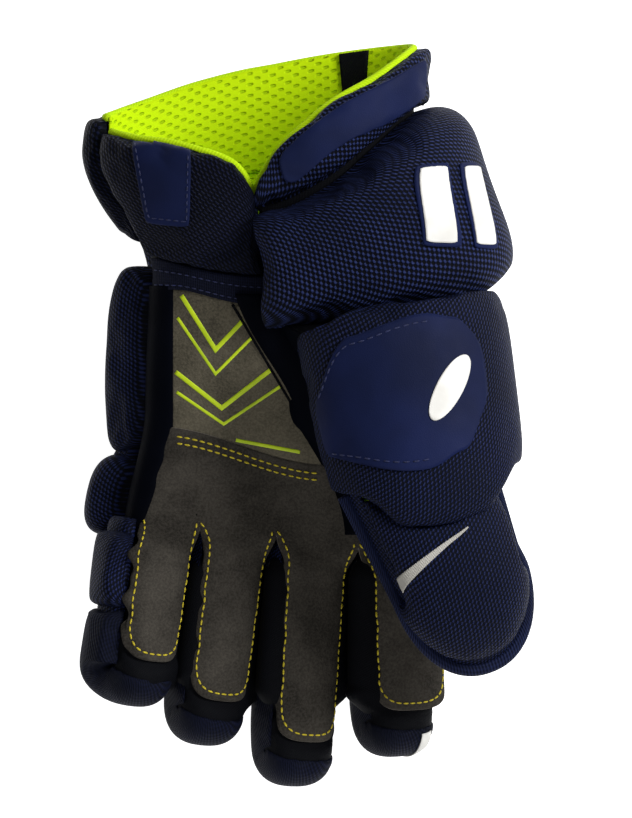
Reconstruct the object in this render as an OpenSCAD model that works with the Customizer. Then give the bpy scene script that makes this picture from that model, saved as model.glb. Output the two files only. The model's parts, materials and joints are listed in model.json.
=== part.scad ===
// Ice hockey glove for the left hand, lying on its back with the palm up.
// X points to the thumb side, Y to the cuff, Z out of the palm.
// The origin is on the flat of the back, on the table.

/* [Hand] */
// Length of the palm, from the finger roots to the wrist seam
palm_len = 122; // [112:1:132]
// Half width of the hand space at the finger roots
root_half_w = 73; // [70:1:76]
// Half width of the hand space at the wrist
wrist_half_w = 68; // [64:1:72]
// Height of the hand space at the finger roots
root_h = 26; // [22:1:30]
// Height of the hand space at the wrist
wrist_h = 44; // [38:1:50]
// Thickness of the foam rolls on the back of the hand
back_pad_t = 24; // [20:1:28]
// Thickness of the roll round the wrist
wrist_roll_t = 33; // [28:1:36]
// Thickness of the pad on the little finger side of the hand
ulnar_pad_t = 21; // [17:1:25]

/* [Cuff] */
// Length of the cuff on the thumb side, from the palm seam to the end of the back
cuff_len = 107; // [98:1:116]
// Half width of the arm opening
cuff_half_w = 72; // [68:1:76]
// Height of the arm opening
cuff_h = 74; // [66:1:82]
// Thickness of the padded cuff wall
cuff_wall_t = 9; // [7:0.5:11]
// Thickness of the binding round the cuff's rim
rim_d = 4; // [3:0.5:5]

/* [Fingers] */
// Length of the little finger
pinky_len = 83; // [76:1:90]
// Length of the ring finger
ring_len = 102; // [94:1:110]
// Length of the middle finger
middle_len = 121; // [112:1:128]
// Length of the index finger
index_len = 106; // [98:1:112]
// Part of a finger's length that lies before its middle joint
finger_break = 0.45; // [0.4:0.01:0.5]
// Width of the space inside a finger
stall_w = 27; // [24:0.5:28]
// Height of the space inside a finger
stall_h = 24; // [22:0.5:27]
// Thickness of the foam on the back of a finger
finger_pad_t = 17; // [14:0.5:19]
// Tilt of the fingers towards the thumb, in degrees
finger_roll = 28; // [24:1:30]

/* [Thumb] */
// Length of the thumb past its crease
thumb_len = 80; // [74:1:86]
// Length of the thumb's base pad, from the crease to the wrist roll
thumb_base_len = 84; // [78:1:90]
// Half width of the space inside the thumb at its crease
thumb_half_w = 27; // [24:1:30]
// Height of the space inside the thumb at its crease
thumb_h = 26; // [22:1:30]
// Thickness of the pad on the outside of the thumb
thumb_pad_t = 13; // [10:0.5:16]
// Diameter of the piping round the thumb
piping_d = 7; // [5:0.5:8]

/* [Materials] */
// Thickness of the palm leather
leather_t = 1.6; // [1.2:0.1:2.2]
// Thickness of the stretch fabric and linings
fabric_t = 1.4; // [1:0.1:2]
// Thickness of the plastic plates inside the pads
plate_t = 1.5; // [1:0.1:2]
// Thickness of the smooth patches sewn on the pads
patch_t = 1.2; // [0.8:0.1:2]
// Gap between pieces that are sewn together
seam = 0.3; // [0.2:0.05:0.5]
// Gap between pieces that move past each other
joint_gap = 0.8; // [0.6:0.1:1.2]

/* [Hidden] */
navy = [0.07, 0.09, 0.2];
dark_navy = [0.03, 0.04, 0.08];
neon = [0.72, 0.9, 0.05];
suede = [0.25, 0.24, 0.23];
off_white = [0.9, 0.9, 0.88];
clear_plastic = [0.8, 0.82, 0.85];

FINGERS = ["pinky", "ring", "middle", "index"];
finger_len = [pinky_len, ring_len, middle_len, index_len];
// Each finger's inside is a little wider than the little finger's by this much
finger_extra_w = [0, 2.5, 3.5, 3];
// Leather height of each finger's root above the table
finger_z = [64, 55, 50, 47.5];
// Angle of each finger from straight ahead, positive towards the thumb
finger_fan = [-7.8, -7, -3.5, 1.5];

// Joint plane of the finger roots, and the wrist seam
root_y = -76;
wrist_y = root_y + palm_len;
cuff_y = wrist_y + cuff_len;
// Height of the hand space's floor above the table
floor_z = back_pad_t - 0.6;

finger_side_t = 2.4;
finger_x = [-60, -26.5, 11, 50];
finger_root_gap = 0.7;
finger_y = root_y - finger_root_gap;

FINGER_PIECES = ["base_leather", "base_gusset", "base_pad", "tip_leather", "tip_gusset", "tip_pad"];

// Mesh building

function flatten(rows) = [for (r = rows) each r];
function det(a, b, c) = a * cross(b, c);
// Faces turned so that they wind clockwise seen from outside
function outward(pts, faces) =
    let (six_volumes = [for (f = faces) det(pts[f[0]], pts[f[1]], pts[f[2]])] * [for (f = faces) 1])
    six_volumes > 0 ? [for (f = faces) [f[2], f[1], f[0]]] : faces;
function quad(a, b, c, d) = [[a, b, c], [a, c, d]];

// Closed slab between an outer and an inner grid of points, open round its four sides before closing
module slab(outer, inner) {
    rows = len(outer);
    cols = len(outer[0]);
    n = rows * cols;
    function o(i, j) = i * cols + j;
    function k(i, j) = n + i * cols + j;
    faces = flatten(concat(
        [for (i = [0:rows - 2], j = [0:cols - 2]) quad(o(i, j), o(i + 1, j), o(i + 1, j + 1), o(i, j + 1))],
        [for (i = [0:rows - 2], j = [0:cols - 2]) quad(k(i, j), k(i, j + 1), k(i + 1, j + 1), k(i + 1, j))],
        [for (i = [0:rows - 2]) quad(o(i, 0), k(i, 0), k(i + 1, 0), o(i + 1, 0))],
        [for (i = [0:rows - 2]) quad(o(i, cols - 1), o(i + 1, cols - 1), k(i + 1, cols - 1), k(i, cols - 1))],
        [for (j = [0:cols - 2]) quad(o(0, j), o(0, j + 1), k(0, j + 1), k(0, j))],
        [for (j = [0:cols - 2]) quad(o(rows - 1, j), k(rows - 1, j), k(rows - 1, j + 1), o(rows - 1, j + 1))]));
    pts = concat(flatten(outer), flatten(inner));
    polyhedron(pts, outward(pts, faces), convexity = 6);
}

// Tube between an outer and an inner stack of closed rings; a pole closes the last ring
module ring_tube(outer, inner, pole = undef, inner_pole = undef) {
    rows = len(outer);
    cols = len(outer[0]);
    n = rows * cols;
    capped = !is_undef(pole);
    function o(i, j) = i * cols + j % cols;
    function k(i, j) = n + i * cols + j % cols;
    last = rows - 1;
    faces = flatten(concat(
        [for (i = [0:rows - 2], j = [0:cols - 1]) quad(o(i, j), o(i + 1, j), o(i + 1, j + 1), o(i, j + 1))],
        [for (i = [0:rows - 2], j = [0:cols - 1]) quad(k(i, j), k(i, j + 1), k(i + 1, j + 1), k(i + 1, j))],
        [for (j = [0:cols - 1]) quad(o(0, j), o(0, j + 1), k(0, j + 1), k(0, j))],
        capped
            ? [for (j = [0:cols - 1]) [[o(last, j), 2 * n, o(last, j + 1)],
                                       [k(last, j), k(last, j + 1), 2 * n + 1]]]
            : [for (j = [0:cols - 1]) quad(o(last, j), k(last, j), k(last, j + 1), o(last, j + 1))]));
    pts = concat(flatten(outer), flatten(inner), capped ? [pole, inner_pole] : []);
    polyhedron(pts, outward(pts, faces), convexity = 6);
}

// Solid cord along a path, with its ends closed
module cord(path, d, sides = 6) {
    count = len(path);
    function tangent(i) = let (v = path[min(i + 1, count - 1)] - path[max(i - 1, 0)]) v / norm(v);
    function across(i) = let (c = cross(tangent(i), [0.3, 0.2, 1])) c / norm(c);
    rings = [for (i = [0:count - 1]) let (t = tangent(i), a = across(i), b = cross(t, a))
        [for (k = [0:sides - 1]) path[i] + d / 2 * (cos(360 * k / sides) * a + sin(360 * k / sides) * b)]];
    function o(i, k) = i * sides + k % sides;
    faces = concat(
        flatten([for (i = [0:count - 2], k = [0:sides - 1])
            quad(o(i, k), o(i + 1, k), o(i + 1, k + 1), o(i, k + 1))]),
        [for (k = [1:sides - 2]) [o(0, 0), o(0, k), o(0, k + 1)]],
        [for (k = [1:sides - 2]) [o(count - 1, 0), o(count - 1, k + 1), o(count - 1, k)]]);
    pts = flatten(rings);
    polyhedron(pts, outward(pts, faces), convexity = 6);
}

// Steps from 0 to 1 that crowd towards both ends, for round edges
function soft_steps(n) = [for (i = [0:n]) (1 - cos(180 * i / n)) / 2];
function even_steps(n) = [for (i = [0:n]) i / n];
// Height of a pillow with round edges, 1 over its middle and 0 at its edge
function swell(u, p) = pow(max(0, 1 - pow(abs(2 * u - 1), p)), 1 / p);
function mix(a, b, f) = a + (b - a) * f;
function smooth(f) = let (c = min(1, max(0, f))) c * c * (3 - 2 * c);
// Smooth value through [place, value] pairs
function along(table, x) =
    x <= table[0][0] ? table[0][1] :
    x >= table[len(table) - 1][0] ? table[len(table) - 1][1] :
    let (i = max([for (k = [0:len(table) - 2]) if (table[k][0] <= x) k]), a = table[i], b = table[i + 1])
    mix(a[1], b[1], smooth((x - a[0]) / (b[0] - a[0])));
function signed_power(v, p) = sign(v) * pow(abs(v), p);
// Point of a squared-off oval
function oval(th, half_w, half_h, square) =
    [half_w * signed_power(cos(th), 2 / square), half_h * signed_power(sin(th), 2 / square)];
function on_table(p) = [p[0], p[1], max(0, p[2])];

// Hand and cuff space: angle 90 is the palm, 180 the little finger side, 270 the back

mid_y = (root_y + wrist_y) / 2;
bell_y = wrist_y + 0.55 * cuff_len;
function hand_x(y) = along([[root_y, -7], [mid_y, -2], [wrist_y, 0], [bell_y, -19]], y);
function hand_half_w(y) = along([[root_y, root_half_w], [mid_y, wrist_half_w], [wrist_y, wrist_half_w],
                                 [bell_y, cuff_half_w]], y);
function hand_half_h(y) = along([[root_y, root_h / 2], [wrist_y, wrist_h / 2], [bell_y, cuff_h / 2]], y);
function hand_floor(y) = along([[root_y, floor_z], [wrist_y, floor_z], [bell_y, cuff_wall_t]], y);
function hand_square(y) = along([[root_y, 3], [wrist_y, 2.6], [bell_y, 2.3]], y);
// The palm side rises towards the little finger near the finger roots
function palm_tilt(y) = along([[root_y, 0.13], [mid_y, 0.04], [wrist_y, 0]], y);
function hand_pt(y, th, t) =
    let (h = hand_half_h(y), p = oval(th, hand_half_w(y) + t, h + t, hand_square(y)),
         lift = -palm_tilt(y) * p[0] * smooth(0.5 + sin(th)))
    on_table([hand_x(y) + p[0], y, hand_floor(y) + h + p[1] + lift]);

// Height of a pad at a fraction of its length and of its width
function pillow(u, v, edge_t, full_t, round) = edge_t + (full_t - edge_t) * swell(u, round) * swell(v, round);

// Pad on the hand space: y runs between two functions of the angle, and the pad swells from edge_t to full_t
module hand_pad(y0, y1, th0, th1, t0, edge_t, full_t, rows = 6, cols = 8, round = 2.6) {
    us = soft_steps(rows);
    vs = soft_steps(cols);
    function place(u, v) = let (th = mix(th0, th1, v)) [mix(y0(th), y1(th), u), th];
    slab([for (u = us) [for (v = vs) let (p = place(u, v))
             hand_pt(p[0], p[1], t0 + pillow(u, v, edge_t, full_t, round))]],
         [for (u = us) [for (v = vs) let (p = place(u, v)) hand_pt(p[0], p[1], t0)]]);
}

// Patch that follows the top of such a pad, between two more functions of the angle
module hand_patch(y0, y1, th0, th1, a0, a1, from_th, to_th, t0, edge_t, full_t, round, rows = 3, cols = 6) {
    function top(y, th) = t0 + patch_lift + pillow((y - y0(th)) / (y1(th) - y0(th)), (th - th0) / (th1 - th0),
                                                   edge_t, full_t, round);
    function grid(h) = [for (u = even_steps(rows)) [for (v = even_steps(cols))
        let (th = mix(from_th, to_th, v), y = mix(a0(th), a1(th), u)) hand_pt(y, th, top(y, th) + h)]];
    slab(grid(patch_t), grid(0));
}

// Sheet of one thickness on the hand space; its angle limits may change with y
module hand_sheet(y0, y1, th0, th1, t0, t, rows = 6, cols = 8) {
    function grid(h) = [for (u = even_steps(rows)) let (y = mix(y0, y1, u))
        [for (v = even_steps(cols)) hand_pt(y, mix(th0(y), th1(y), v), t0 + h)]];
    slab(grid(t), grid(0));
}

// Outer layers start past the lining
skin_t = seam + 0.1;
pad_t0 = seam + plate_t + seam;
// Pads keep this far off the lining or fabric under them
pad_skin = 0.9;
hood_skin = 1.4;
// Patches lie this far over the pad they are sewn to
patch_lift = 1;

// Seams of the cuff, by angle: where the padded U meets the hand, where it ends, and the palm flap's two ends
notch_th = 97;
slot_th = 165;
notch_turn = notch_th + 360;
function cuff_seam(th) = wrist_y + along([[slot_th, 13], [225, 34], [285, 56], [350, 80], [390, 73], [425, 48],
                                          [notch_turn, 29]], th);
function cuff_end(th) = cuff_y - along([[slot_th, 41], [200, 35], [225, 25], [250, 16], [285, 5], [330, 0],
                                        [350, 0], [375, 3], [405, 16], [432, 34], [448, 56],
                                        [notch_turn, 78]], th);
function flap_seam(th) = wrist_y + along([[notch_th, 0], [slot_th, 9]], th);
function flap_end(th) = cuff_y - along([[notch_th + 2, 74], [notch_th + 5, 60], [notch_th + 12, 52], [140, 46],
                                        [slot_th, 42]], th);
flap_th0 = notch_th + 2;
flap_th1 = slot_th - 3;
cuff_th0 = slot_th + 2.6;
cuff_th1 = notch_turn - 2;
ulnar_split_th = 214;
radial_split_th = 352;

// Palm: its right edge follows the ball of the thumb
palm_th1 = 158;
function palm_edge_th(y) = along([[root_y, 70], [mid_y, 84], [wrist_y, 104]], y);
heel_y = root_y + 34;

module palm_leather() {
    color(suede)
        hand_sheet(root_y, heel_y - seam, function(y) palm_edge_th(y), function(y) palm_th1,
                   skin_t, leather_t, rows = 4, cols = 12);
}

module palm_heel() {
    color(suede)
        hand_sheet(heel_y, wrist_y - 8, function(y) palm_edge_th(y), function(y) palm_th1,
                   skin_t, leather_t, rows = 6, cols = 12);
}

module palm_seam_tape() {
    color(navy)
        hand_sheet(wrist_y - 8 + seam, wrist_y - seam, function(y) palm_edge_th(y), function(y) slot_th,
                   skin_t, leather_t + 1, rows = 2);
}

module thenar_tape() {
    color(navy)
        hand_sheet(root_y, wrist_y - 29, function(y) palm_edge_th(y) - 9,
                   function(y) palm_edge_th(y) - 0.6, skin_t, leather_t + 3, rows = 8, cols = 2);
}

module hand_lining() {
    color(neon)
        hand_sheet(root_y, wrist_y - joint_gap, function(y) palm_edge_th(y), function(y) 318,
                   -fabric_t, fabric_t, rows = 6, cols = 26);
}

module ulnar_side_panel() {
    color(dark_navy)
        hand_sheet(root_y, wrist_y - 8, function(y) palm_th1 + 0.6, function(y) 178,
                   skin_t, leather_t, cols = 3);
}

module ulnar_pad() {
    color(navy)
        hand_pad(function(th) heel_y + 5, function(th) wrist_y + 4, 179, 214, pad_skin, 5, ulnar_pad_t);
}

// Foam rolls over the knuckles, one behind each finger
module knuckle_rolls() {
    lims = [180, 218, 248, 286, 330];
    color(navy)
        for (i = [0:3])
            hand_pad(function(th) root_y, function(th) heel_y + 4, lims[i] + 0.6, lims[i + 1] - 0.6,
                     pad_t0, 6, back_pad_t - pad_t0, rows = 5, cols = 5);
}

module backhand_roll() {
    color(navy)
        hand_pad(function(th) heel_y + 6, function(th) wrist_y - 10, 216, 332, pad_t0, 6,
                 back_pad_t - pad_t0 + 0.6, cols = 10);
}

module backhand_plate() {
    color(clear_plastic)
        hand_sheet(root_y + 6, wrist_y - 12, function(y) 226, function(y) 318, seam, plate_t, rows = 3);
}

function wrist_roll_start(th) =
    wrist_y - along([[215, 8], [290, 8], [360, 6], [405, 17], [notch_turn, 26]], th);

module wrist_roll() {
    color(navy)
        hand_pad(function(th) wrist_roll_start(th), function(th) cuff_seam(th) - 3 * joint_gap,
                 216, cuff_th1 + 1, pad_t0, 5, wrist_roll_t - pad_t0, cols = 14);
}

// Cuff

// The back pad starts past the plate that stiffens it
cuff_t0 = pad_skin + plate_t + pad_skin;
// Binding sits square off a rim that runs at a slope
function rim_off(rise) = (rim_d / 2 + 3 * seam) * sqrt(1 + rise * rise);
function rise(end, th) = (end(th + 1) - end(th - 1)) / (2 * cuff_half_w * PI / 180);

module cuff_back_pad() {
    color(navy)
        hand_pad(function(th) cuff_seam(th), function(th) cuff_end(th), ulnar_split_th + 0.5,
                 radial_split_th - 0.5, cuff_t0, 2, cuff_wall_t - cuff_t0 + 0.6, cols = 14);
}

module cuff_ulnar_flap() {
    color(navy)
        hand_pad(function(th) cuff_seam(th), function(th) cuff_end(th), cuff_th0, ulnar_split_th,
                 pad_skin, 3, cuff_wall_t + 1, cols = 5);
}

module cuff_radial_panel() {
    color(navy)
        hand_pad(function(th) cuff_seam(th), function(th) cuff_end(th), radial_split_th, cuff_th1,
                 pad_skin, 3, cuff_wall_t, cols = 11, round = 4);
}

// Smooth tab sewn along the rim of the thumb side
module cuff_radial_tab() {
    color(navy)
        hand_patch(function(th) cuff_seam(th), function(th) cuff_end(th), radial_split_th, cuff_th1,
                   function(th) max(cuff_seam(th) + 4, cuff_end(th) - 21), function(th) cuff_end(th) - 4,
                   radial_split_th + 32, cuff_th1 - 9, pad_skin, 3, cuff_wall_t, 4, cols = 9);
}

module cuff_lining() {
    us = even_steps(4);
    vs = even_steps(30);
    function grid(h) = [for (u = us) [for (v = vs) let (th = mix(cuff_th0, cuff_th1, v))
        hand_pt(mix(cuff_seam(th), cuff_end(th), u), th, h)]];
    color(neon) slab(grid(0), grid(-fabric_t));
}

module cuff_rim_binding() {
    color(neon)
        cord([for (v = even_steps(26)) let (th = mix(cuff_th0 + 1, cuff_th1 - 1, v))
              hand_pt(cuff_end(th) + rim_off(rise(function(a) cuff_end(a), th)), th, rim_d / 2 - fabric_t)],
             rim_d);
}

module cuff_stiffener() {
    color(clear_plastic)
        hand_pad(function(th) cuff_seam(th) + 4, function(th) cuff_end(th) - 5, ulnar_split_th + 6,
                 radial_split_th - 8, pad_skin, plate_t, plate_t, rows = 3, cols = 16);
}

// Label sewn inside the back of the cuff
module cuff_label() {
    color(dark_navy)
        hand_pad(function(th) cuff_end(th) - 26, function(th) cuff_end(th) - 1, 300, 314,
                 -fabric_t - pad_skin - patch_t, patch_t, patch_t, rows = 2, cols = 3);
}

module cuff_palm_panel() {
    color(navy)
        hand_pad(function(th) flap_seam(th), function(th) flap_end(th), flap_th0, flap_th1,
                 pad_skin, 3, cuff_wall_t - 1, cols = 9, round = 4);
}

// Smooth tab sewn to the middle of the palm flap
module cuff_palm_tab() {
    color(navy)
        hand_patch(function(th) flap_seam(th), function(th) flap_end(th), flap_th0, flap_th1,
                   function(th) mix(flap_seam(th), flap_end(th), 0.24), function(th) flap_end(th) - 2, 117, 146,
                   pad_skin, 3, cuff_wall_t - 1, 4);
}

module flap_lining() {
    function grid(h) = [for (u = even_steps(3)) [for (v = even_steps(6)) let (th = mix(flap_th0, flap_th1, v))
        hand_pt(mix(flap_seam(th), flap_end(th), u), th, h)]];
    color(neon) slab(grid(0), grid(-fabric_t));
}

module flap_rim_binding() {
    color(neon)
        cord([for (v = even_steps(12)) let (th = mix(flap_th0 + 1, flap_th1 - 1, v))
              hand_pt(flap_end(th) + rim_off(rise(function(a) flap_end(a), th)), th, rim_d / 2 - fabric_t)],
             rim_d);
}

// Digit space: runs straight from a root point; angle 90 faces out of the palm side, 270 the back
// A digit is [root point, fan, roll, slope, half width, half height, length, dome length, taper, square, side],
// where side holds how far foam may reach out on the two sides

function side_w(g, taper, th, t) = g[4] * taper + min(t, cos(th) < 0 ? g[10][0] : g[10][1]);
function digit_dir(g) = [sin(g[1]) * cos(g[3]), -cos(g[1]) * cos(g[3]), sin(g[3])];
function digit_side(g) = let (w = [cos(g[1]), sin(g[1]), 0], u = cross(w, digit_dir(g)) * -1)
    w * cos(g[2]) - u * sin(g[2]);
function digit_up(g) = let (w = [cos(g[1]), sin(g[1]), 0], u = cross(w, digit_dir(g)) * -1)
    u * cos(g[2]) + w * sin(g[2]);
// Point at a length s, an angle and a distance t out from the space's wall; the tip is a dome
function digit_pt(g, s, th, t) =
    let (dome = g[7], straight = g[6] - dome, lat = min(90, max(0, 90 * (s - straight) / dome)),
         taper = 1 - g[8] * min(s, straight) / straight,
         p = oval(th, side_w(g, taper, th, t), g[5] + t, g[9]) * cos(lat),
         reach = min(s, straight) + (dome + t) * sin(lat))
    on_table(g[0] + digit_dir(g) * reach + digit_side(g) * p[0]
             + digit_up(g) * (p[1] - g[5] - leather_t - skin_t));

// Length at which a digit that is turned by its fan starts, so that its root lies square across the hand
function root_s(g, th) = let (p = oval(th, g[4] + 2, g[5] + 6, g[9]))
    tan(g[1]) * (p[0] * cos(g[2]) + (p[1] - g[5]) * sin(g[2]));

module digit_pad(g, s0, s1, th0, th1, t0, edge_t, full_t, rows = 5, cols = 9, round = 2.8) {
    us = soft_steps(rows);
    vs = soft_steps(cols);
    function limit(s, th) = is_function(s) ? s(th) : s;
    function place(u, v) = let (th = mix(th0, th1, v)) [mix(limit(s0, th), limit(s1, th), u), th];
    function height(u, v) = pillow(u, v, edge_t, full_t, round);
    slab([for (u = us) [for (v = vs) let (p = place(u, v)) digit_pt(g, p[0], p[1], t0 + height(u, v))]],
         [for (u = us) [for (v = vs) let (p = place(u, v)) digit_pt(g, p[0], p[1], t0)]]);
}

// Point of a hood that runs along the back and then turns up round the tip by an angle, both inside length q
function hood_turn(g, q) = max(0, 90 * (q - g[6] + g[7]) / g[7]);
function hood_pt(g, q, th, t) =
    let (straight = g[6] - g[7], turn = hood_turn(g, q), taper = 1 - g[8] * min(q, straight) / straight,
         p = oval(th, side_w(g, taper, th, t), g[5] + t, g[9]), out = -p[1] / (g[5] + t))
    on_table(g[0] + digit_dir(g) * (min(q, straight) + (g[7] + t) * out * sin(turn)) + digit_side(g) * p[0]
             - digit_up(g) * ((g[5] + t) * out * cos(turn) + g[5] + leather_t + skin_t));

// Padded hood over the back and the tip of a digit; its sides draw in where it turns
function hood_end(g, last_turn) = g[6] - g[7] + last_turn / 90 * g[7];
function hood_half(g, q, wrap) = 90 + mix(wrap, -4, smooth(hood_turn(g, q) / 40));
function hood_t(g, q, u, v, t0, edge_t, full_t, tip_t, round) =
    t0 + pillow(u, v, edge_t, mix(full_t, tip_t, smooth(hood_turn(g, q) / 90)), round);

module hood(g, q0, last_turn, wrap, t0, edge_t, full_t, tip_t, rows = 9, cols = 9, round = 2.8) {
    us = soft_steps(rows);
    vs = soft_steps(cols);
    function start(th) = is_function(q0) ? q0(th) : q0;
    function place(u, v) = let (q1 = hood_end(g, last_turn), q = mix(start(mix(180, 360, v)), q1, u),
                                half = hood_half(g, q, wrap))
        [q, mix(270 - half, 270 + half, v)];
    function height(q, u, v) = hood_t(g, q, u, v, t0, edge_t, full_t, tip_t, round);
    slab([for (u = us) [for (v = vs) let (p = place(u, v)) hood_pt(g, p[0], p[1], height(p[0], u, v))]],
         [for (u = us) [for (v = vs) let (p = place(u, v)) hood_pt(g, p[0], p[1], t0)]]);
}

function wider(g, e) = concat([for (i = [0:9]) g[i]], [g[10] + [e, e]]);

// Band over a hood from one [length, width fraction] to another, narrowing from wide to narrow
module hood_band(g, q0, last_turn, wrap, t0, edge_t, full_t, tip_t, from, to, wide, narrow, cols = 6,
                 round = 2.8, lift = patch_lift) {
    function at(f, e, h) = let (q = mix(from[0], to[0], f) + e * mix(wide, narrow, f) / 2,
                                v = mix(from[1], to[1], f),
                                half = hood_half(g, q, wrap), u = (q - q0) / (hood_end(g, last_turn) - q0))
        hood_pt(wider(g, lift + h), q, mix(270 - half, 270 + half, v),
                lift + h + hood_t(g, q, u, v, t0, edge_t, full_t, tip_t, round));
    function grid(h) = [for (f = even_steps(cols)) [for (e = [-1, 0, 1]) at(f, e, h)]];
    slab(grid(patch_t), grid(0));
}

// Leather tongue with a round end
module tongue(g, s0, s1, half_th, end_r, t0, t, rows = 8, cols = 7) {
    function grid(h) = [for (u = even_steps(rows))
        let (s = mix(s0, s1, u), past = max(0, (s - s1 + end_r) / end_r),
             half = half_th * sqrt(1 - 0.8 * past * past))
        [for (v = even_steps(cols)) digit_pt(g, s, mix(90 - half, 90 + half, v), t0 + h)]];
    slab(grid(t), grid(0));
}

module digit_sheet(g, s0, s1, th0, th1, t0, t, rows = 4, cols = 7) {
    digit_pad(g, s0, s1, th0, th1, t0, t, t, rows, cols);
}

module digit_tube(g, s0, s1, capped, rows = 5, cols = 18) {
    function ring(s, t) = [for (j = [0:cols - 1]) digit_pt(g, s, 360 * j / cols, t)];
    us = even_steps(rows);
    top = capped ? mix(s0, s1, 0.94) : s1;
    ring_tube([for (u = us) ring(mix(s0, top, u), 0)], [for (u = us) ring(mix(s0, top, u), -fabric_t)],
              capped ? digit_pt(g, s1, 90, 0) : undef, capped ? digit_pt(g, s1, 90, -fabric_t) : undef);
}

function finger(i) = [[finger_x[i], finger_y, finger_z[i]], finger_fan[i], finger_roll, 0,
                      (stall_w + finger_extra_w[i]) / 2, stall_h / 2, finger_len[i] - finger_tip_t, stall_h / 2,
                      0.06, 2.6, [i == 0 ? pinky_side_t : finger_side_t, finger_side_t]];
function finger_joint_s(i) = finger_len[i] * finger_break;

// Foam over a fingertip, and how far the leather ends before the tip's dome
finger_tip_t = 8;
leather_short = 6;
leather_half_th = 64;
back_wrap = 12;
// Foam on the little finger's outer side
pinky_side_t = 13;
hood_turn_end = 140;

module finger_piece(i, piece) {
    g = finger(i);
    s1 = finger_joint_s(i) - joint_gap / 2;
    s2 = finger_joint_s(i) + joint_gap / 2;
    dome_s = g[6] - g[7];
    if (piece == "base_leather")
        color(suede) digit_sheet(g, function(th) root_s(g, th), s1, 90 - leather_half_th, 90 + leather_half_th,
                                 skin_t, leather_t);
    if (piece == "base_gusset") color(dark_navy) digit_tube(g, 2.5, s1, false, rows = 1);
    if (piece == "base_pad")
        color(navy) digit_pad(g, function(th) root_s(g, th), s1, 180 - back_wrap, 360 + back_wrap, pad_skin,
                              finger_side_t - pad_skin, finger_pad_t - pad_skin);
    if (piece == "tip_leather")
        color(suede) tongue(g, s2, dome_s - leather_short, leather_half_th, 12, skin_t, leather_t);
    if (piece == "tip_gusset") color(dark_navy) digit_tube(g, s2, g[6], true);
    if (piece == "tip_pad")
        color(navy) hood(g, s2, hood_turn_end, back_wrap, hood_skin, finger_side_t - hood_skin,
                         finger_pad_t - hood_skin, finger_tip_t - hood_skin);
}

// White bar on the thumb side of the index fingertip
module index_stripe() {
    g = finger(3);
    q0 = finger_joint_s(3) + joint_gap / 2;
    color(off_white)
        hood_band(g, q0, hood_turn_end, back_wrap, hood_skin, finger_side_t - hood_skin,
                  finger_pad_t - hood_skin, finger_tip_t - hood_skin, [hood_end(g, 55), 0.68],
                  [hood_end(g, 55), 0.82], 16, 16, lift = patch_lift + 0.9);
}

// Thumb: turned over, so its pad faces up like the palm and its leather faces down

thumb_fan = 20.8;
thumb_roll = 192;
thumb_drop = -4;
// The ball of the thumb reaches under the wrist roll, up to this far from the wrist seam
base_back = 25;
thumb_pad_top = [66, wrist_y - base_back - thumb_base_len, 120];
thumb_dome = 40;
thumb_tip_t = 7;
thumb_turn_end = 86;
thumb_deep = leather_t + skin_t + thumb_h + pad_skin + thumb_pad_t;
free_side = [100, 100];
thumb_aim = [[0, 0, 0], thumb_fan, thumb_roll, thumb_drop];
thumb = [thumb_pad_top + thumb_deep * digit_up(thumb_aim), thumb_fan, thumb_roll, thumb_drop, thumb_half_w,
         thumb_h / 2, thumb_len - thumb_tip_t, thumb_dome, 0.1, 2.2, free_side];

// The pad starts further back at its sides, where the crease curves
function thumb_start(th) = along([[180, -2], [270, joint_gap], [360, -15]], th);
thumb_edge_t = 2.5;
thumb_round = 2.4;
thumb_t0 = pad_t0 + pad_skin;

module thumb_pad() {
    color(navy)
        hood(thumb, function(th) thumb_start(th), thumb_turn_end, 2, thumb_t0, thumb_edge_t,
             thumb_pad_t - thumb_t0, thumb_tip_t, rows = 9, cols = 12, round = thumb_round);
}

module thumb_leather() {
    color(suede) tongue(thumb, joint_gap, thumb[6] - 18, 66, 16, skin_t, leather_t);
}

module thumb_gusset() {
    color(dark_navy) digit_tube(thumb, joint_gap, thumb[6], true);
}

module thumb_stiffener() {
    color(clear_plastic)
        digit_sheet(thumb, joint_gap + 4, thumb[6] - thumb_dome, 210, 330, pad_skin, plate_t, cols = 9);
}

// Thick piping along both sides of the thumb's pad and round its tip
module thumb_piping() {
    straight = thumb[6] - thumb_dome;
    t = skin_t + piping_d / 2;
    out = t + 5.7;
    end_q = hood_end(thumb, thumb_turn_end + 15);
    left = [for (u = even_steps(6)) hood_pt(thumb, mix(joint_gap + 1, straight, u), 168, mix(t + 1.5, out, u))];
    tip = [for (u = even_steps(14)) hood_pt(thumb, end_q, mix(184, 356, u), out)];
    right = [for (u = even_steps(6)) hood_pt(thumb, mix(straight, joint_gap + 1, u), 372, mix(out, t + 1.5, u))];
    color(navy) cord(concat(left, tip, right), piping_d, 8);
}

// Light stripe that runs across the thumb's pad to a point
module thumb_stripe() {
    color(off_white)
        hood_band(thumb, joint_gap, thumb_turn_end, 2, thumb_t0, thumb_edge_t, thumb_pad_t - thumb_t0,
                  thumb_tip_t, [27, 0.9], [12, 0.42], 6.5, 1.2, cols = 8, round = thumb_round);
}

// Thumb base: the ball of the thumb, from the crease back to the wrist roll; its pad lies round angle 90
base_fan = 9.9;
base_top = [46, wrist_y - base_back, 112];
base = [base_top - [0, 0, thumb_pad_t], base_fan, 12, 6, thumb_half_w + 10, 25, thumb_base_len * 2, 40, 0.24,
        2.3, free_side];

function base_start(th) = along([[-62, -12], [0, -12], [90, -11], [172, -5]], th);
function base_stop(th) = thumb_base_len - joint_gap - along([[-62, 16], [0, 13], [90, 0], [172, 13]], th);
base_th0 = -62;
base_th1 = 172;
base_edge_t = 6;
base_full_t = thumb_pad_t + 4;
base_round = 3.4;

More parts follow.
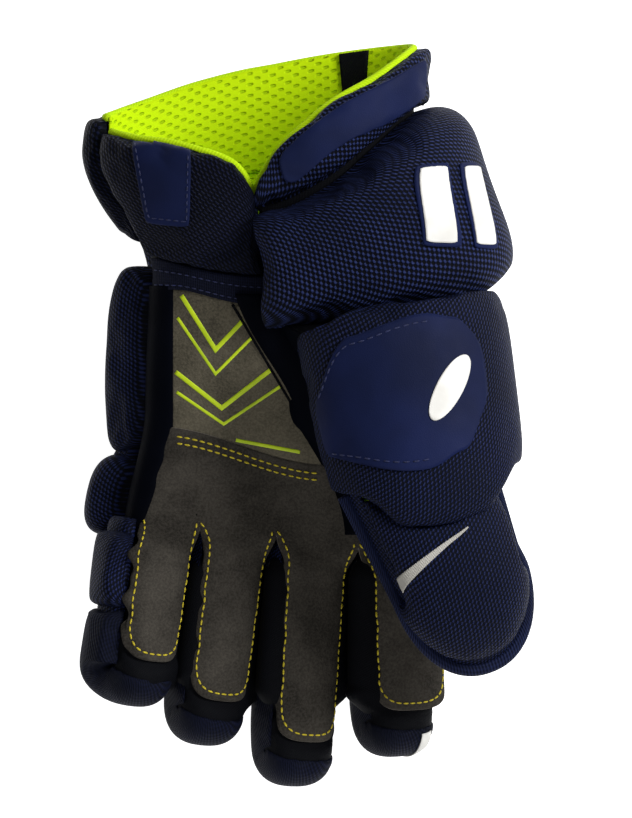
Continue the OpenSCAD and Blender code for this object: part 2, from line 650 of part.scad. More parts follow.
module thumb_base_pad() {
    color(navy)
        digit_pad(base, function(th) base_start(th), function(th) base_stop(th), base_th0, base_th1, pad_t0,
                  base_edge_t, base_full_t, rows = 7, cols = 12, round = base_round);
}

// Smooth patch sewn over the ball of the thumb
module thumb_base_patch() {
    function top(s, th) = pad_t0 + patch_lift + pillow((s - base_start(th)) / (base_stop(th) - base_start(th)),
        (th - base_th0) / (base_th1 - base_th0), base_edge_t, base_full_t, base_round);
    function upper(th) = along([[56, 10], [70, 0], [85, -3], [115, 2], [150, 27]], th);
    function lower(th) = thumb_base_len - along([[56, 40], [75, 21], [92, 15], [150, 28]], th);
    function grid(h) = [for (u = even_steps(5)) [for (v = even_steps(9))
        let (th = mix(56, 150, v), s = mix(upper(th), lower(th), u)) digit_pt(base, s, th, top(s, th) + h)]];
    color(navy) slab(grid(patch_t), grid(0));
}

module thumb_base_lining() {
    color(neon)
        digit_sheet(base, 1, thumb_base_len - 6, -50, 160, -fabric_t, fabric_t, cols = 14);
}

palm_leather();
palm_heel();
palm_seam_tape();
thenar_tape();
hand_lining();
ulnar_side_panel();
ulnar_pad();
knuckle_rolls();
backhand_roll();
backhand_plate();
wrist_roll();
thumb_base_pad();
thumb_base_patch();
thumb_base_lining();
cuff_back_pad();
cuff_ulnar_flap();
cuff_radial_panel();
cuff_radial_tab();
cuff_lining();
cuff_rim_binding();
cuff_stiffener();
cuff_label();
cuff_palm_panel();
cuff_palm_tab();
flap_lining();
flap_rim_binding();
thumb_pad();
thumb_leather();
thumb_gusset();
thumb_stiffener();
thumb_piping();
thumb_stripe();
index_stripe();
for (i = [0:3], piece = FINGER_PIECES)
    finger_piece(i, piece);
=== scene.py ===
"""A left-hand ice hockey glove, palm up, dressed over its solids."""
import json
import math
from types import SimpleNamespace

import bmesh
import bpy
import numpy as np
from mathutils import Matrix, Vector
from mathutils.bvhtree import BVHTree


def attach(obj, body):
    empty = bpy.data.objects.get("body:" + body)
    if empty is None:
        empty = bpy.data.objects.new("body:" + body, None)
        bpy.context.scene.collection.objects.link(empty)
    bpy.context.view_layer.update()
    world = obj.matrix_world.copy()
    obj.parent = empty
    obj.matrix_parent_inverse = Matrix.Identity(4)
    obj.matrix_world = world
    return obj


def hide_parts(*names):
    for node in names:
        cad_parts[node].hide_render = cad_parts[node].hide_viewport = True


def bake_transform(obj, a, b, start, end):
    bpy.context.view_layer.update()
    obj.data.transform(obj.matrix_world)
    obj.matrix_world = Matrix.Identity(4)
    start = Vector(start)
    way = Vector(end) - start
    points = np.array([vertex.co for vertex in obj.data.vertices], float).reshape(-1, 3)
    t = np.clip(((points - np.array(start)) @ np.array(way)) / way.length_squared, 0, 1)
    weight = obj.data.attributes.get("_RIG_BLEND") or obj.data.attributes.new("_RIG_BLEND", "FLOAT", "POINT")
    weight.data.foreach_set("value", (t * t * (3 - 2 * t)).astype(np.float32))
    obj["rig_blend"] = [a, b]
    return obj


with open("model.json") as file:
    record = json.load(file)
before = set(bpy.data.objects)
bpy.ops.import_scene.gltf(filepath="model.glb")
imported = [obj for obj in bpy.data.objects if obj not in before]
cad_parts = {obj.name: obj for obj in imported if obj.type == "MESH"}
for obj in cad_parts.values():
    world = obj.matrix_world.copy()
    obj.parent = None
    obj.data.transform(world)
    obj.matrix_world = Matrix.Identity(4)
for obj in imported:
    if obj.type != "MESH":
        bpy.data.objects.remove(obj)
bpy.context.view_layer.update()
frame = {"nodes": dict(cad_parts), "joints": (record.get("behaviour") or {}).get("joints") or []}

# Sizes in millimetres and angles in degrees, as the solids have them
MM = 0.001
ROOT_Y, WRIST_Y, CUFF_Y = -76.0, 46.0, 153.0
MID_Y, HEEL_Y, BELL_Y = -15.0, -42.0, 104.85
FLOOR_Z = 23.4
LEATHER, FABRIC, PATCH, PLATE, WALL = 1.6, 1.4, 1.2, 1.5, 0.6
JOINT_GAP, ROOT_GAP, LAP_GAP = 0.8, 0.7, 0.3
SKIN, PAD_SKIN, HOOD_SKIN, PAD_T0 = 0.4, 0.9, 1.4, 2.1
BACK_PAD, WRIST_ROLL, ULNAR_PAD, CUFF_WALL = 24.0, 33.0, 21.0, 9.0
FINGER_PAD, FINGER_SIDE, FINGER_TIP, THUMB_PAD, THUMB_TIP = 17.0, 2.4, 8.0, 13.0, 7.0
RIM_D, PIPING_D = 4.0, 7.0
NOTCH_TH, SLOT_TH = 97.0, 165.0
NOTCH_TURN = NOTCH_TH + 360
FLAP_TH0, FLAP_TH1 = NOTCH_TH + 2, SLOT_TH - 3
CUFF_TH0, CUFF_TH1 = SLOT_TH + 2.6, NOTCH_TURN - 2
ULNAR_SPLIT, RADIAL_SPLIT = 214.0, 352.0
PALM_TH1, ROLL_TH0, SIDE_TH1 = 158.0, 216.0, 218.0
LEATHER_HALF_TH, BACK_WRAP, CAP_TURN = 64.0, 12.0, 160.0
THUMB_LEATHER_HALF_TH, THUMB_WRAP, THUMB_TURN = 78.0, -26.0, 60.0

# Points of a mesh that are closer than this are one, in metres
MERGE, STRIP_MERGE = 1e-6, 2e-5

# Fingers: length and width, place of the root, lean to the side, and what all four share
FINGERS = ("pinky", "ring", "middle", "index")
FINGER_LEN = dict(pinky=83.0, ring=102.0, middle=121.0, index=106.0)
FINGER_W = dict(pinky=27.0, ring=29.5, middle=30.5, index=30.0)
FINGER_X = dict(pinky=-60.0, ring=-26.5, middle=11.0, index=50.0)
FINGER_Z = dict(pinky=64.0, ring=55.0, middle=50.0, index=47.5)
FINGER_FAN = dict(pinky=-7.8, ring=-7.0, middle=-3.5, index=1.5)
FINGER_ROLL, FINGER_HALF_H, FINGER_TAPER, FINGER_SQUARE = 28.0, 12.0, 0.06, 2.6
FINGER_BREAK, PINKY_SIDE = 0.45, 13.0

# Photograph: pixel of the frame's origin column, a row for a known Y, and the size of a pixel
PHOTO_W, PHOTO_H, PIXEL = 632, 818, 0.47
PHOTO_X0, PHOTO_ROW, PHOTO_ROW_Y = 300, 420, -22.0

# Places read from the photograph, in pixels, and the height from which they are laid down
FRONT_TAB_PX = ((132, 139), (193, 153), (191, 229), (147, 224))
PALM_PANEL_PX = ((236, 306), (264, 304), (300, 404), (288, 398))
PALM_PANEL_SEAM_PX = ((233, 305), (290, 401))
PALM_SEAM_PX = (176, 318)
BADGE_PX = (447, 388)
PALM_LINES_PX = (
    ((182, 296), (216, 350), (252, 312)),
    ((178, 318), (216, 374), (264, 326)),
    ((176, 372), (222, 408), (276, 366)),
    ((177, 392), (224, 424), (284, 384)),
    ((236, 440), (300, 452)),
)
PALM_LINE_WIDTHS_PX = (4.5, 3.0, 4.5, 3.0, 3.5)
ABOVE, HIGH_ABOVE = 150.0, 300.0


def photo_x(px):
    return (px - PHOTO_X0) * PIXEL


def photo_y(py):
    return PHOTO_ROW_Y + (PHOTO_ROW - py) * PIXEL


# Curves and maps of the hand

def mix(a, b, f):
    return a + (b - a) * f


def smooth(f):
    f = np.clip(f, 0.0, 1.0)
    return f * f * (3 - 2 * f)


def soft(f):
    return (1 - np.cos(math.pi * f)) / 2


def along(x, *pairs):
    """Smooth value through (place, value) pairs."""
    places, values = (np.array(c, float) for c in zip(*pairs))
    i = np.clip(np.searchsorted(places, x, side="right") - 1, 0, len(places) - 2)
    return mix(values[i], values[i + 1], smooth((x - places[i]) / (places[i + 1] - places[i])))


def flowing(x, *pairs):
    """Rounder value through (place, value) pairs, without a flat at each pair."""
    places, values = (np.array(c, float) for c in zip(*pairs))
    lean = np.gradient(values, places)
    i = np.clip(np.searchsorted(places, x, side="right") - 1, 0, len(places) - 2)
    width = places[i + 1] - places[i]
    f = np.clip((x - places[i]) / width, 0, 1)
    ends = mix(values[i], values[i + 1], smooth(f))
    return ends + f * (1 - f) * width * (lean[i] * (1 - f) - lean[i + 1] * f)


def cosd(a):
    return np.cos(np.radians(a))


def sind(a):
    return np.sin(np.radians(a))


def signed_power(v, p):
    return np.sign(v) * np.abs(v) ** p


def oval(th, half_w, half_h, square):
    return half_w * signed_power(cosd(th), 2 / square), half_h * signed_power(sind(th), 2 / square)


def swell(u, p):
    """Bulge from 0 at both ends to 1; p may give each end its own roundness."""
    first, last = p if isinstance(p, tuple) else (p, p)
    p = np.where(np.asarray(u) < 0.5, first, last)
    return np.maximum(0, 1 - np.abs(2 * u - 1) ** p) ** (1 / p)


def pillow(u, v, edge, full, lengthwise, across=None):
    return edge + (full - edge) * swell(u, lengthwise) * swell(v, across or lengthwise)


def points(x, y, z):
    x, y, z = np.broadcast_arrays(x, y, z)
    return np.stack([x, y, np.maximum(z, 0.0)], -1).astype(float)


def hand_space(y):
    return SimpleNamespace(
        x=along(y, (ROOT_Y, -7), (MID_Y, -2), (WRIST_Y, 0), (BELL_Y, -19)),
        half_w=along(y, (ROOT_Y, 73), (MID_Y, 68), (WRIST_Y, 68), (BELL_Y, 72)),
        half_h=along(y, (ROOT_Y, 13), (WRIST_Y, 22), (BELL_Y, 37)),
        floor=along(y, (ROOT_Y, FLOOR_Z), (WRIST_Y, FLOOR_Z), (BELL_Y, CUFF_WALL)),
        square=along(y, (ROOT_Y, 3), (WRIST_Y, 2.6), (BELL_Y, 2.3)),
        tilt=along(y, (ROOT_Y, 0.13), (MID_Y, 0.04), (WRIST_Y, 0)),
    )


def hand_pt(y, th, t):
    """Point of the hand and cuff: angle 90 is the palm, 180 the little finger side, 270 the back."""
    g = hand_space(y)
    px, pz = oval(th, g.half_w + t, g.half_h + t, g.square)
    lift = -g.tilt * px * smooth(0.5 + sind(th))
    return points(g.x + px, y, g.floor + g.half_h + pz + lift)


def palm_pt(x, y, t):
    """Point of the palm's surface over a place on the table."""
    g = hand_space(y)
    px = x - g.x
    up = np.maximum(0, 1 - np.minimum(1, np.abs(px) / (g.half_w + t)) ** g.square) ** (1 / g.square)
    lift = -g.tilt * px * smooth(0.5 + up ** (g.square / 2))
    return points(x, y, g.floor + g.half_h + (g.half_h + t) * up + lift)


class Digit:
    """A finger or thumb that runs straight from its root; angle 90 is its palm side, 270 its back."""

    def __init__(self, root, fan, roll, slope, half_w, half_h, length, dome, taper, square, sides):
        self.half_w, self.half_h, self.length, self.dome = half_w, half_h, length, dome
        self.taper, self.square, self.sides = taper, square, sides
        self.straight = length - dome
        self.dir = np.array([sind(fan) * cosd(slope), -cosd(fan) * cosd(slope), sind(slope)])
        flat = np.array([cosd(fan), sind(fan), 0.0])
        rise = -np.cross(flat, self.dir)
        self.side = flat * cosd(roll) - rise * sind(roll)
        self.up = rise * cosd(roll) + flat * sind(roll)
        self.root = np.array(root, float)

    def place(self, reach, across, height):
        reach, across, height = (c[..., None] for c in np.broadcast_arrays(reach, across, height))
        p = self.root + reach * self.dir + across * self.side + height * self.up
        p[..., 2] = np.maximum(p[..., 2], 0)
        return p

    def section(self, s, th, t):
        taper = 1 - self.taper * np.minimum(s, self.straight) / self.straight
        side = np.minimum(t, np.where(cosd(th) < 0, self.sides[0], self.sides[1]))
        return oval(th, self.half_w * taper + side, self.half_h + t, self.square)

    def pt(self, s, th, t):
        lat = np.clip(90 * (s - self.straight) / self.dome, 0, 90)
        px, pz = self.section(s, th, t)
        reach = np.minimum(s, self.straight) + (self.dome + t) * sind(lat)
        return self.place(reach, px * cosd(lat), pz * cosd(lat) - self.half_h - LEATHER - SKIN)

    def turn(self, q):
        return np.maximum(0, 90 * (q - self.straight) / self.dome)

    def hood_th(self, q, wrap, v):
        """Angle across a hood that wraps past the sides and draws in towards the tip."""
        half = 90 + mix(wrap, -4, smooth(self.turn(q) / 40))
        return mix(270 - half, 270 + half, v)

    def hood_pt(self, q, th, t):
        """Point of the back that turns over the tip instead of closing in a dome."""
        px, pz = self.section(q, th, t)
        out = -pz / (self.half_h + t)
        reach = np.minimum(q, self.straight) + (self.dome + t) * out * sind(self.turn(q))
        drop = (self.half_h + t) * out * cosd(self.turn(q)) + self.half_h + LEATHER + SKIN
        return self.place(reach, px, -drop)

    def hood_end(self, last_turn):
        return self.straight + last_turn / 90 * self.dome


def finger_digit(name):
    outer_side = PINKY_SIDE if name == "pinky" else FINGER_SIDE
    return Digit(root=(FINGER_X[name], ROOT_Y - ROOT_GAP, FINGER_Z[name]), fan=FINGER_FAN[name],
                 roll=FINGER_ROLL, slope=0, half_w=FINGER_W[name] / 2, half_h=FINGER_HALF_H,
                 length=FINGER_LEN[name] - FINGER_TIP, dome=FINGER_HALF_H, taper=FINGER_TAPER,
                 square=FINGER_SQUARE, sides=(outer_side, FINGER_SIDE))


def bend_at(name):
    """Length from a finger's root to its own bend."""
    return FINGER_LEN[name] * FINGER_BREAK


# The thumb, and the ball of the thumb that it grows from
BASE_LEN, BASE_BACK = 84.0, 25.0
BASE_TH0, BASE_TH1, BALL_PAD = -62.0, 172.0, THUMB_PAD + 4
THUMB_LEN, THUMB_HALF_H = 80.0, 13.0
THUMB_TOP = np.array([66.0, WRIST_Y - BASE_BACK - BASE_LEN, 120.0])
FREE_SIDES = (100.0, 100.0)
thumb = Digit(root=(0, 0, 0), fan=20.8, roll=192, slope=-4, half_w=27, half_h=THUMB_HALF_H,
              length=THUMB_LEN - THUMB_TIP, dome=40, taper=0.1, square=2.2, sides=FREE_SIDES)
thumb.root = THUMB_TOP + (LEATHER + SKIN + 2 * THUMB_HALF_H + PAD_SKIN + THUMB_PAD) * thumb.up
base = Digit(root=(46, WRIST_Y - BASE_BACK, 112 - THUMB_PAD), fan=9.9, roll=12, slope=6, half_w=37, half_h=25,
             length=BASE_LEN * 2, dome=40, taper=0.24, square=2.3, sides=FREE_SIDES)
digits = {name: finger_digit(name) for name in FINGERS}
THUMB_HINGE = THUMB_TOP + 20 * thumb.up
THUMB_HOLE = (38.0, -22.0, 62.0)


def cuff_seam(th):
    """Y of the cuff's bend, where it meets the hand."""
    return WRIST_Y + flowing(th, (SLOT_TH, 13), (225, 34), (285, 56), (350, 80), (390, 73), (425, 48),
                             (NOTCH_TURN, 29))


def cuff_end(th):
    return CUFF_Y - flowing(th, (SLOT_TH, 34), (200, 31), (225, 25), (250, 16), (285, 5), (330, 0), (350, 0),
                            (375, 3), (405, 16), (432, 34), (448, 56), (NOTCH_TURN, 78))


def flap_seam(th):
    return WRIST_Y + along(th, (NOTCH_TH, 0), (SLOT_TH, 9))


def flap_end(th):
    return CUFF_Y - flowing(th, (FLAP_TH0, 76), (FLAP_TH0 + 0.8, 65), (FLAP_TH0 + 2.4, 58),
                            (FLAP_TH0 + 5.5, 54), (112, 49.5), (140, 44), (SLOT_TH, 40))


def flap_turn(v):
    """Angle across the palm flap, close-set near the notch."""
    return FLAP_TH0 + (FLAP_TH1 - FLAP_TH0) * v ** 1.6


def palm_edge_th(y):
    """Angle at which the palm ends beside the ball of the thumb."""
    return along(y, (ROOT_Y, 70), (MID_Y, 84), (WRIST_Y, 104))


def base_start(th):
    return along(th, (BASE_TH0, -12), (0, -12), (90, -11), (BASE_TH1, -5))


def base_stop(th):
    return BASE_LEN - JOINT_GAP - along(th, (BASE_TH0, 16), (0, 13), (90, 0), (BASE_TH1, 13))


def thumb_start(th):
    return along(th, (180, -2), (270, JOINT_GAP), (360, -15))


# Shader expressions

class Value:
    """A socket whose arithmetic adds Math nodes to its material."""

    def __init__(self, finish, socket):
        self.finish, self.socket = finish, socket

    def math(self, operation, *inputs):
        return self.finish.node("ShaderNodeMath", {"operation": operation}, dict(enumerate(inputs)))

    def __add__(self, other):
        return self.math("ADD", self, other)

    def __sub__(self, other):
        return self.math("SUBTRACT", self, other)

    def __rsub__(self, other):
        return self.math("SUBTRACT", other, self)

    def __mul__(self, other):
        return self.math("MULTIPLY", self, other)

    def wave(self, pitch):
        return self.math("COSINE", self * (2 * math.pi / pitch))

    def step(self, low, high):
        return self.finish.node("ShaderNodeMapRange", {"interpolation_type": "SMOOTHSTEP"},
                                {"Value": self, "From Min": low, "From Max": high})

    __radd__, __rmul__ = __add__, __mul__


class Finish:
    """A material, with one method that adds any node."""

    def __init__(self, name, **shader):
        self.material = bpy.data.materials.new(name)
        self.material.use_nodes = True
        self.tree = self.material.node_tree
        self.shader = self.tree.nodes["Principled BSDF"]
        for socket, value in shader.items():
            self.shader.inputs[socket.replace("_", " ")].default_value = value

    def node(self, kind, settings=None, inputs=None, out=0):
        made = self.tree.nodes.new(kind)
        for name, value in (settings or {}).items():
            setattr(made, name, value)
        for key, value in (inputs or {}).items():
            if isinstance(value, Value):
                self.tree.links.new(value.socket, made.inputs[key])
            else:
                made.inputs[key].default_value = value
        return Value(self, made.outputs[out])

    def weave(self):
        """The two ways of the cloth, in millimetres."""
        uv = self.node("ShaderNodeUVMap", {"uv_map": "weave"})
        across = self.node("ShaderNodeSeparateXYZ", inputs={0: uv})
        return across, Value(self, across.socket.node.outputs[1])

    def place(self):
        return self.node("ShaderNodeTexCoord", out=3)

    def noise(self, scale, detail=2.0, roughness=0.5):
        return self.node("ShaderNodeTexNoise", inputs={"Vector": self.place(), "Scale": scale,
                                                       "Detail": detail, "Roughness": roughness})

    def blend(self, factor, a, b):
        return self.node("ShaderNodeMix", {"data_type": "RGBA"}, {0: factor, 6: a, 7: b}, out=2)

    def colour(self, value):
        self.tree.links.new(value.socket, self.shader.inputs["Base Color"])

    def rough(self, value):
        self.tree.links.new(value.socket, self.shader.inputs["Roughness"])

    def bump(self, height, depth):
        bump = self.node("ShaderNodeBump", inputs={"Height": height, "Distance": depth * MM, "Strength": 1.0})
        self.tree.links.new(bump.socket, self.shader.inputs["Normal"])


def rgb(code):
    """A colour written as it looks on screen, in the light's own scale."""
    parts = [int(code[i:i + 2], 16) / 255 for i in (0, 2, 4)]
    return (*(c / 12.92 if c <= 0.04045 else ((c + 0.055) / 1.055) ** 2.4 for c in parts), 1.0)


def knit_mesh(name, along_row, across_rows, slant, strand, hollow, depth=0.6):
    """Coarse knit: slanting rows of short raised strands, each row set off by half from the next."""
    m = Finish(name, Specular_IOR_Level=0.08)
    u, v = m.weave()
    drift = m.noise(160.0)
    stretch = math.sqrt(1 + slant * slant)
    a, b = u + v * slant + drift * 0.9, v - u * slant + drift * 0.7
    knot = (a.wave(along_row * stretch) * b.wave(across_rows * stretch)).step(-0.25, 0.8)
    twist = (a - b * 0.7).wave(along_row * 0.5) * 0.5 + 0.5
    raised = knot * (twist * 0.3 + 0.7)
    # Random blotches of painted shade darken the lit strand colour towards the hollow colour.
    painted_shade = m.noise(26.0, 3.0).step(0.25, 0.75) * 0.4
    lit = m.blend(painted_shade, rgb(strand), rgb(hollow))
    m.colour(m.blend(raised, rgb(hollow), lit))
    m.rough(0.7 - raised * 0.25)
    m.bump(raised, depth)
    return m.material


def rib_knit(name, pitch, strand, hollow, slant=0.0, depth=0.35):
    """Fine ribbed cloth; slant turns the ribs across the piece."""
    m = Finish(name, Specular_IOR_Level=0.1)
    u, v = m.weave()
    rib = (v + u * slant).wave(pitch) * 0.5 + 0.5
    cross = (u - v * slant).wave(pitch * 1.3) * 0.5 + 0.5
    thread = rib * 0.7 + cross * 0.3
    shade = m.noise(45.0, 3.0).step(0.25, 0.75) * 0.5
    lit = m.blend(shade, rgb(strand), rgb(hollow))
    m.colour(m.blend(thread, rgb(hollow), lit))
    m.rough(0.85 - thread * 0.2)
    m.bump(thread, depth)
    return m.material


def coated_cloth(name, light, dark, gloss=0.14):
    """Smooth coated cloth with a fine pressed grain."""
    m = Finish(name, Specular_IOR_Level=gloss)
    grain = m.node("ShaderNodeTexVoronoi", {"feature": "F1"}, {"Vector": m.place(), "Scale": 1900.0})
    broad = m.noise(22.0, 3.0)
    m.colour(m.blend(broad.step(0.25, 0.75), rgb(light), rgb(dark)))
    m.rough(0.5 + m.noise(120.0) * 0.14)
    m.bump(grain + m.noise(700.0) * 0.4, 0.05)
    return m.material


def brushed_leather(name, light, dark):
    """Brushed synthetic leather: short nap, cloudy shade and fine specks."""
    m = Finish(name, Specular_IOR_Level=0.08)
    cloud = m.noise(34.0, 4.0, 0.6)
    nap = m.noise(900.0, 3.0, 0.7)
    fleck = m.noise(480.0, 2.0)
    shade = cloud.step(0.3, 0.72) * 0.55 + nap.step(0.32, 0.68) * 0.45
    m.colour(m.blend(shade, rgb(dark), rgb(light)))
    m.rough(0.82 + nap * 0.12)
    m.bump(nap * 0.6 + fleck * 0.4, 0.5)
    return m.material


def air_mesh(name, light, dark):
    """Spacer lining with staggered rows of short dimples."""
    m = Finish(name, Specular_IOR_Level=0.15)
    u, v = m.weave()
    drift = m.noise(90.0) * 1.2
    row = (u + drift).wave(5.2)
    dimple = (row * row * row * (v + drift).wave(7.4)).step(0.02, 0.75)
    loop = u.wave(1.2) * v.wave(1.2) * 0.5 + 0.5
    m.colour(m.blend(dimple * 0.6 + loop * 0.1, rgb(light), rgb(dark)))
    m.rough(0.75 + loop * 0.15)
    m.bump(loop * 0.1 - dimple, 0.6)
    return m.material


def thread(name, light, dark):
    m = Finish(name, Specular_IOR_Level=0.4)
    twist = m.noise(2400.0, 1.0)
    m.colour(m.blend(twist.step(0.35, 0.65), rgb(light), rgb(dark)))
    m.rough(0.55 + twist * 0.2)
    m.bump(twist, 0.1)
    return m.material


def moulded(name, light, dark, roughness):
    m = Finish(name, Specular_IOR_Level=0.5)
    fine = m.noise(900.0, 2.0)
    m.colour(m.blend(m.noise(60.0, 3.0).step(0.3, 0.7), rgb(light), rgb(dark)))
    m.rough(fine * 0.15 + roughness)
    m.bump(fine, 0.03)
    return m.material


NAVY_MESH = knit_mesh("navy mesh", 4.4, 2.4, 0.75, "2f3b6e", "020309")
# The same knit as the navy mesh, painted darker: painted shade for the cuff's ulnar side and palm flap, which
# face away from the key light.
SHADED_NAVY_MESH = knit_mesh("shaded navy mesh", 4.4, 2.4, 0.75, "161d3c", "010207")
FINE_MESH = knit_mesh("fine navy mesh", 3.8, 2.0, 0.6, "222c59", "03050d", 0.45)
CAP_CLOTH = rib_knit("fingertip cloth", 1.7, "0e132c", "03050c", 0.5)
PIPING_CLOTH = rib_knit("piping cloth", 1.6, "1e274c", "060916")
STRETCH = rib_knit("black stretch cloth", 0.8, "05060d", "020306", 0.4, 0.15)
TAPE = rib_knit("navy tape", 1.1, "0e142c", "050713", 0.0, 0.2)
SMOOTH_NAVY = coated_cloth("smooth navy", "161f46", "0f1632", 0.07)
DARK_NAVY = coated_cloth("dark navy", "05070f", "020308", 0.02)
SUEDE = brushed_leather("grey suede", "4b4741", "211f1c")
# The heel's suede is lighter than the finger suede: partly its own tone, partly painted light on the heel.
LIT_HEEL_SUEDE = brushed_leather("palm suede with painted light", "6c6657", "3b382f")
SUEDE_EDGE = brushed_leather("suede cut edge", "857f76", "57524b")
NEON = air_mesh("neon lining", "cef000", "9cc200")
NEON_RIM = rib_knit("neon rim", 1.6, "cdf41c", "b4dc08", 0.2, 0.15)
YELLOW_THREAD = thread("yellow thread", "dcca2c", "a8941a")
NAVY_THREAD = thread("navy thread", "232c5a", "0d122b")
NEON_PRINT = moulded("neon print", "cfe80e", "b4cf00", 0.5)
WHITE_TRIM = moulded("white trim", "f0efeb", "dcdad4", 0.45)
GREY_TRIM = rib_knit("light grey ribbon", 0.9, "d3d1ca", "a39f97", 0.5, 0.25)
CLEAR_PLATE = moulded("plastic plate", "c9cdd2", "aeb4bb", 0.3)

SLOTS = dict(
    navy_mesh=(NAVY_MESH, SHADED_NAVY_MESH, FINE_MESH, CAP_CLOTH, PIPING_CLOTH),
    smooth_navy=(TAPE, SMOOTH_NAVY, DARK_NAVY, NAVY_THREAD),
    grey_suede=(SUEDE, LIT_HEEL_SUEDE, SUEDE_EDGE),
    neon_lining=(NEON, NEON_RIM, NEON_PRINT, YELLOW_THREAD),
    black_stretch=(STRETCH,),
    light_trim=(WHITE_TRIM, GREY_TRIM),
    clear_plate=(CLEAR_PLATE,),
)
SLOT_OF = {finish: slot for slot, finishes in SLOTS.items() for finish in finishes}


# Building pieces

def flat_grid(nu, nv):
    bm = bmesh.new()
    bmesh.ops.create_grid(bm, x_segments=nu, y_segments=nv, size=0.5)
    bm.loops.layers.uv.new("weave")
    return bm


def grid_places(bm):
    return np.array([v.co[:2] for v in bm.verts]) + 0.5


def lay_weave(bm, flat, rule, nu, nv):
    """Sets the cloth's two ways to true lengths on the piece, measured from its middle."""
    u, v = np.meshgrid(np.linspace(0, 1, nu + 1), np.linspace(0, 1, nv + 1), indexing="ij")
    p = rule(u.ravel(), v.ravel(), np.ones(u.size)).reshape(nu + 1, nv + 1, 3)
    ways = []
    for axis, middle in ((0, nu // 2), (1, nv // 2)):
        step = np.linalg.norm(np.diff(p, axis=axis), axis=-1)
        pad = [(0, 0), (0, 0)]
        pad[axis] = (1, 0)
        run = np.cumsum(np.pad(step, pad), axis=axis)
        ways.append(run - np.take(run, [middle], axis=axis))
    i = np.rint(flat[:, 0] * nu).astype(int)
    j = np.rint(flat[:, 1] * nv).astype(int)
    weave = bm.loops.layers.uv["weave"]
    for face in bm.faces:
        for loop in face.loops:
            k = loop.vert.index
            loop[weave].uv = (ways[0][i[k], j[k]], ways[1][i[k], j[k]])


def move_to(bm, places):
    for vert, place in zip(bm.verts, places):
        vert.co = Vector(place) * MM


def finish_piece(name, bm, finishes):
    mesh = bpy.data.meshes.new(name)
    bm.to_mesh(mesh)
    bm.free()
    mesh.shade_smooth()
    for finish in finishes:
        mesh.materials.append(finish)
    made = bpy.data.objects.new(name, mesh)
    bpy.context.scene.collection.objects.link(made)
    return made


def set_order(bm):
    """Sorts edges and faces by their vertices, so that every run makes the same piece."""
    bm.verts.index_update()

    def rank(part):
        order = [v.index for v in part.verts]
        return min(order) * len(bm.verts) + max(order)

    for parts in (bm.edges, bm.faces):
        parts.sort(key=rank)
        parts.index_update()


def face_out(bm):
    bmesh.ops.recalc_face_normals(bm, faces=bm.faces)
    if bm.calc_volume(signed=True) < 0:
        bmesh.ops.reverse_faces(bm, faces=bm.faces)


def slab(name, rule, nu, nv, finish, edge=None, under=None):
    """Closed piece over a flat grid; rule(u, v, raised) gives the places of its base and its face."""
    bm = flat_grid(nu, nv)
    lifted = bmesh.ops.extrude_face_region(bm, geom=bm.faces[:], use_keep_orig=True)
    face_verts = {g for g in lifted["geom"] if isinstance(g, bmesh.types.BMVert)}
    set_order(bm)
    raised = np.array([v in face_verts for v in bm.verts], float)
    flat = grid_places(bm)
    for face in bm.faces:
        up = sum(v in face_verts for v in face.verts)
        if edge and 0 < up < len(face.verts) or under and up == 0:
            face.material_index = 1
    lay_weave(bm, flat, rule, nu, nv)
    move_to(bm, rule(flat[:, 0], flat[:, 1], raised))
    face_out(bm)
    made = finish_piece(name, bm, [f for f in (finish, edge, under) if f])
    seam = made.vertex_groups.new(name="seam")
    seam.add([int(k) for k in np.flatnonzero(raised < 0.5)], 1.0, "REPLACE")
    return made


def skin(name, rule, nu, nv, finish, wrap=False):
    """Single layer over a flat grid; wrap joins its two long sides."""
    bm = flat_grid(nu, nv)
    bm.verts.index_update()
    flat = grid_places(bm)
    lay_weave(bm, flat, rule, nu, nv)
    move_to(bm, rule(flat[:, 0], flat[:, 1], np.ones(len(flat))))
    if wrap:
        bmesh.ops.remove_doubles(bm, verts=bm.verts, dist=MERGE)
    bmesh.ops.recalc_face_normals(bm, faces=bm.faces)
    middle = sum((v.co for v in bm.verts), Vector()) / len(bm.verts)
    if sum((f.calc_center_median() - middle).dot(f.normal) * f.calc_area() for f in bm.faces) < 0:
        bmesh.ops.reverse_faces(bm, faces=bm.faces)
    return finish_piece(name, bm, [finish])


def lined(piece, thickness, heart=None, inside=None):
    """Gives a single layer its thickness, and the side towards a point in the hand its own finish."""
    mesh = piece.data
    if heart is not None:
        heart = Vector(heart) * MM
        if sum(f.area * f.normal.dot(f.center - heart) for f in mesh.polygons) < 0:
            mesh.flip_normals()
    wall = piece.modifiers.new("thickness", "SOLIDIFY")
    wall.thickness, wall.offset = thickness * MM, -1
    if inside:
        mesh.materials.append(inside)
        wall.material_offset = 1
    return piece


def tube(name, path, radius, finish, sides=12):
    """Round tube along a path in millimetres, with its ends closed."""
    path = np.asarray(path, float)
    n = len(path) - 1
    tangent = np.gradient(path, axis=0)
    tangent /= np.linalg.norm(tangent, axis=1)[:, None]
    across = np.cross(tangent, [0.3, 0.2, 1.0])
    across /= np.linalg.norm(across, axis=1)[:, None]
    out = np.cross(tangent, across)

    def rule(u, v, raised):
        i = np.rint(v * n).astype(int)
        a = 2 * math.pi * u[:, None]
        return path[i] + radius * (np.cos(a) * across[i] + np.sin(a) * out[i])

    bm = flat_grid(sides, n)
    bm.verts.index_update()
    flat = grid_places(bm)
    lay_weave(bm, flat, rule, sides, n)
    move_to(bm, rule(flat[:, 0], flat[:, 1], None))
    bmesh.ops.remove_doubles(bm, verts=bm.verts, dist=MERGE)
    bmesh.ops.holes_fill(bm, edges=[e for e in bm.edges if e.is_boundary], sides=sides)
    face_out(bm)
    return finish_piece(name, bm, [finish])


def surface_of(piece):
    """The piece's face as it shows, to lay other pieces on."""
    bpy.context.view_layer.update()
    return BVHTree.FromObject(piece, bpy.context.evaluated_depsgraph_get())


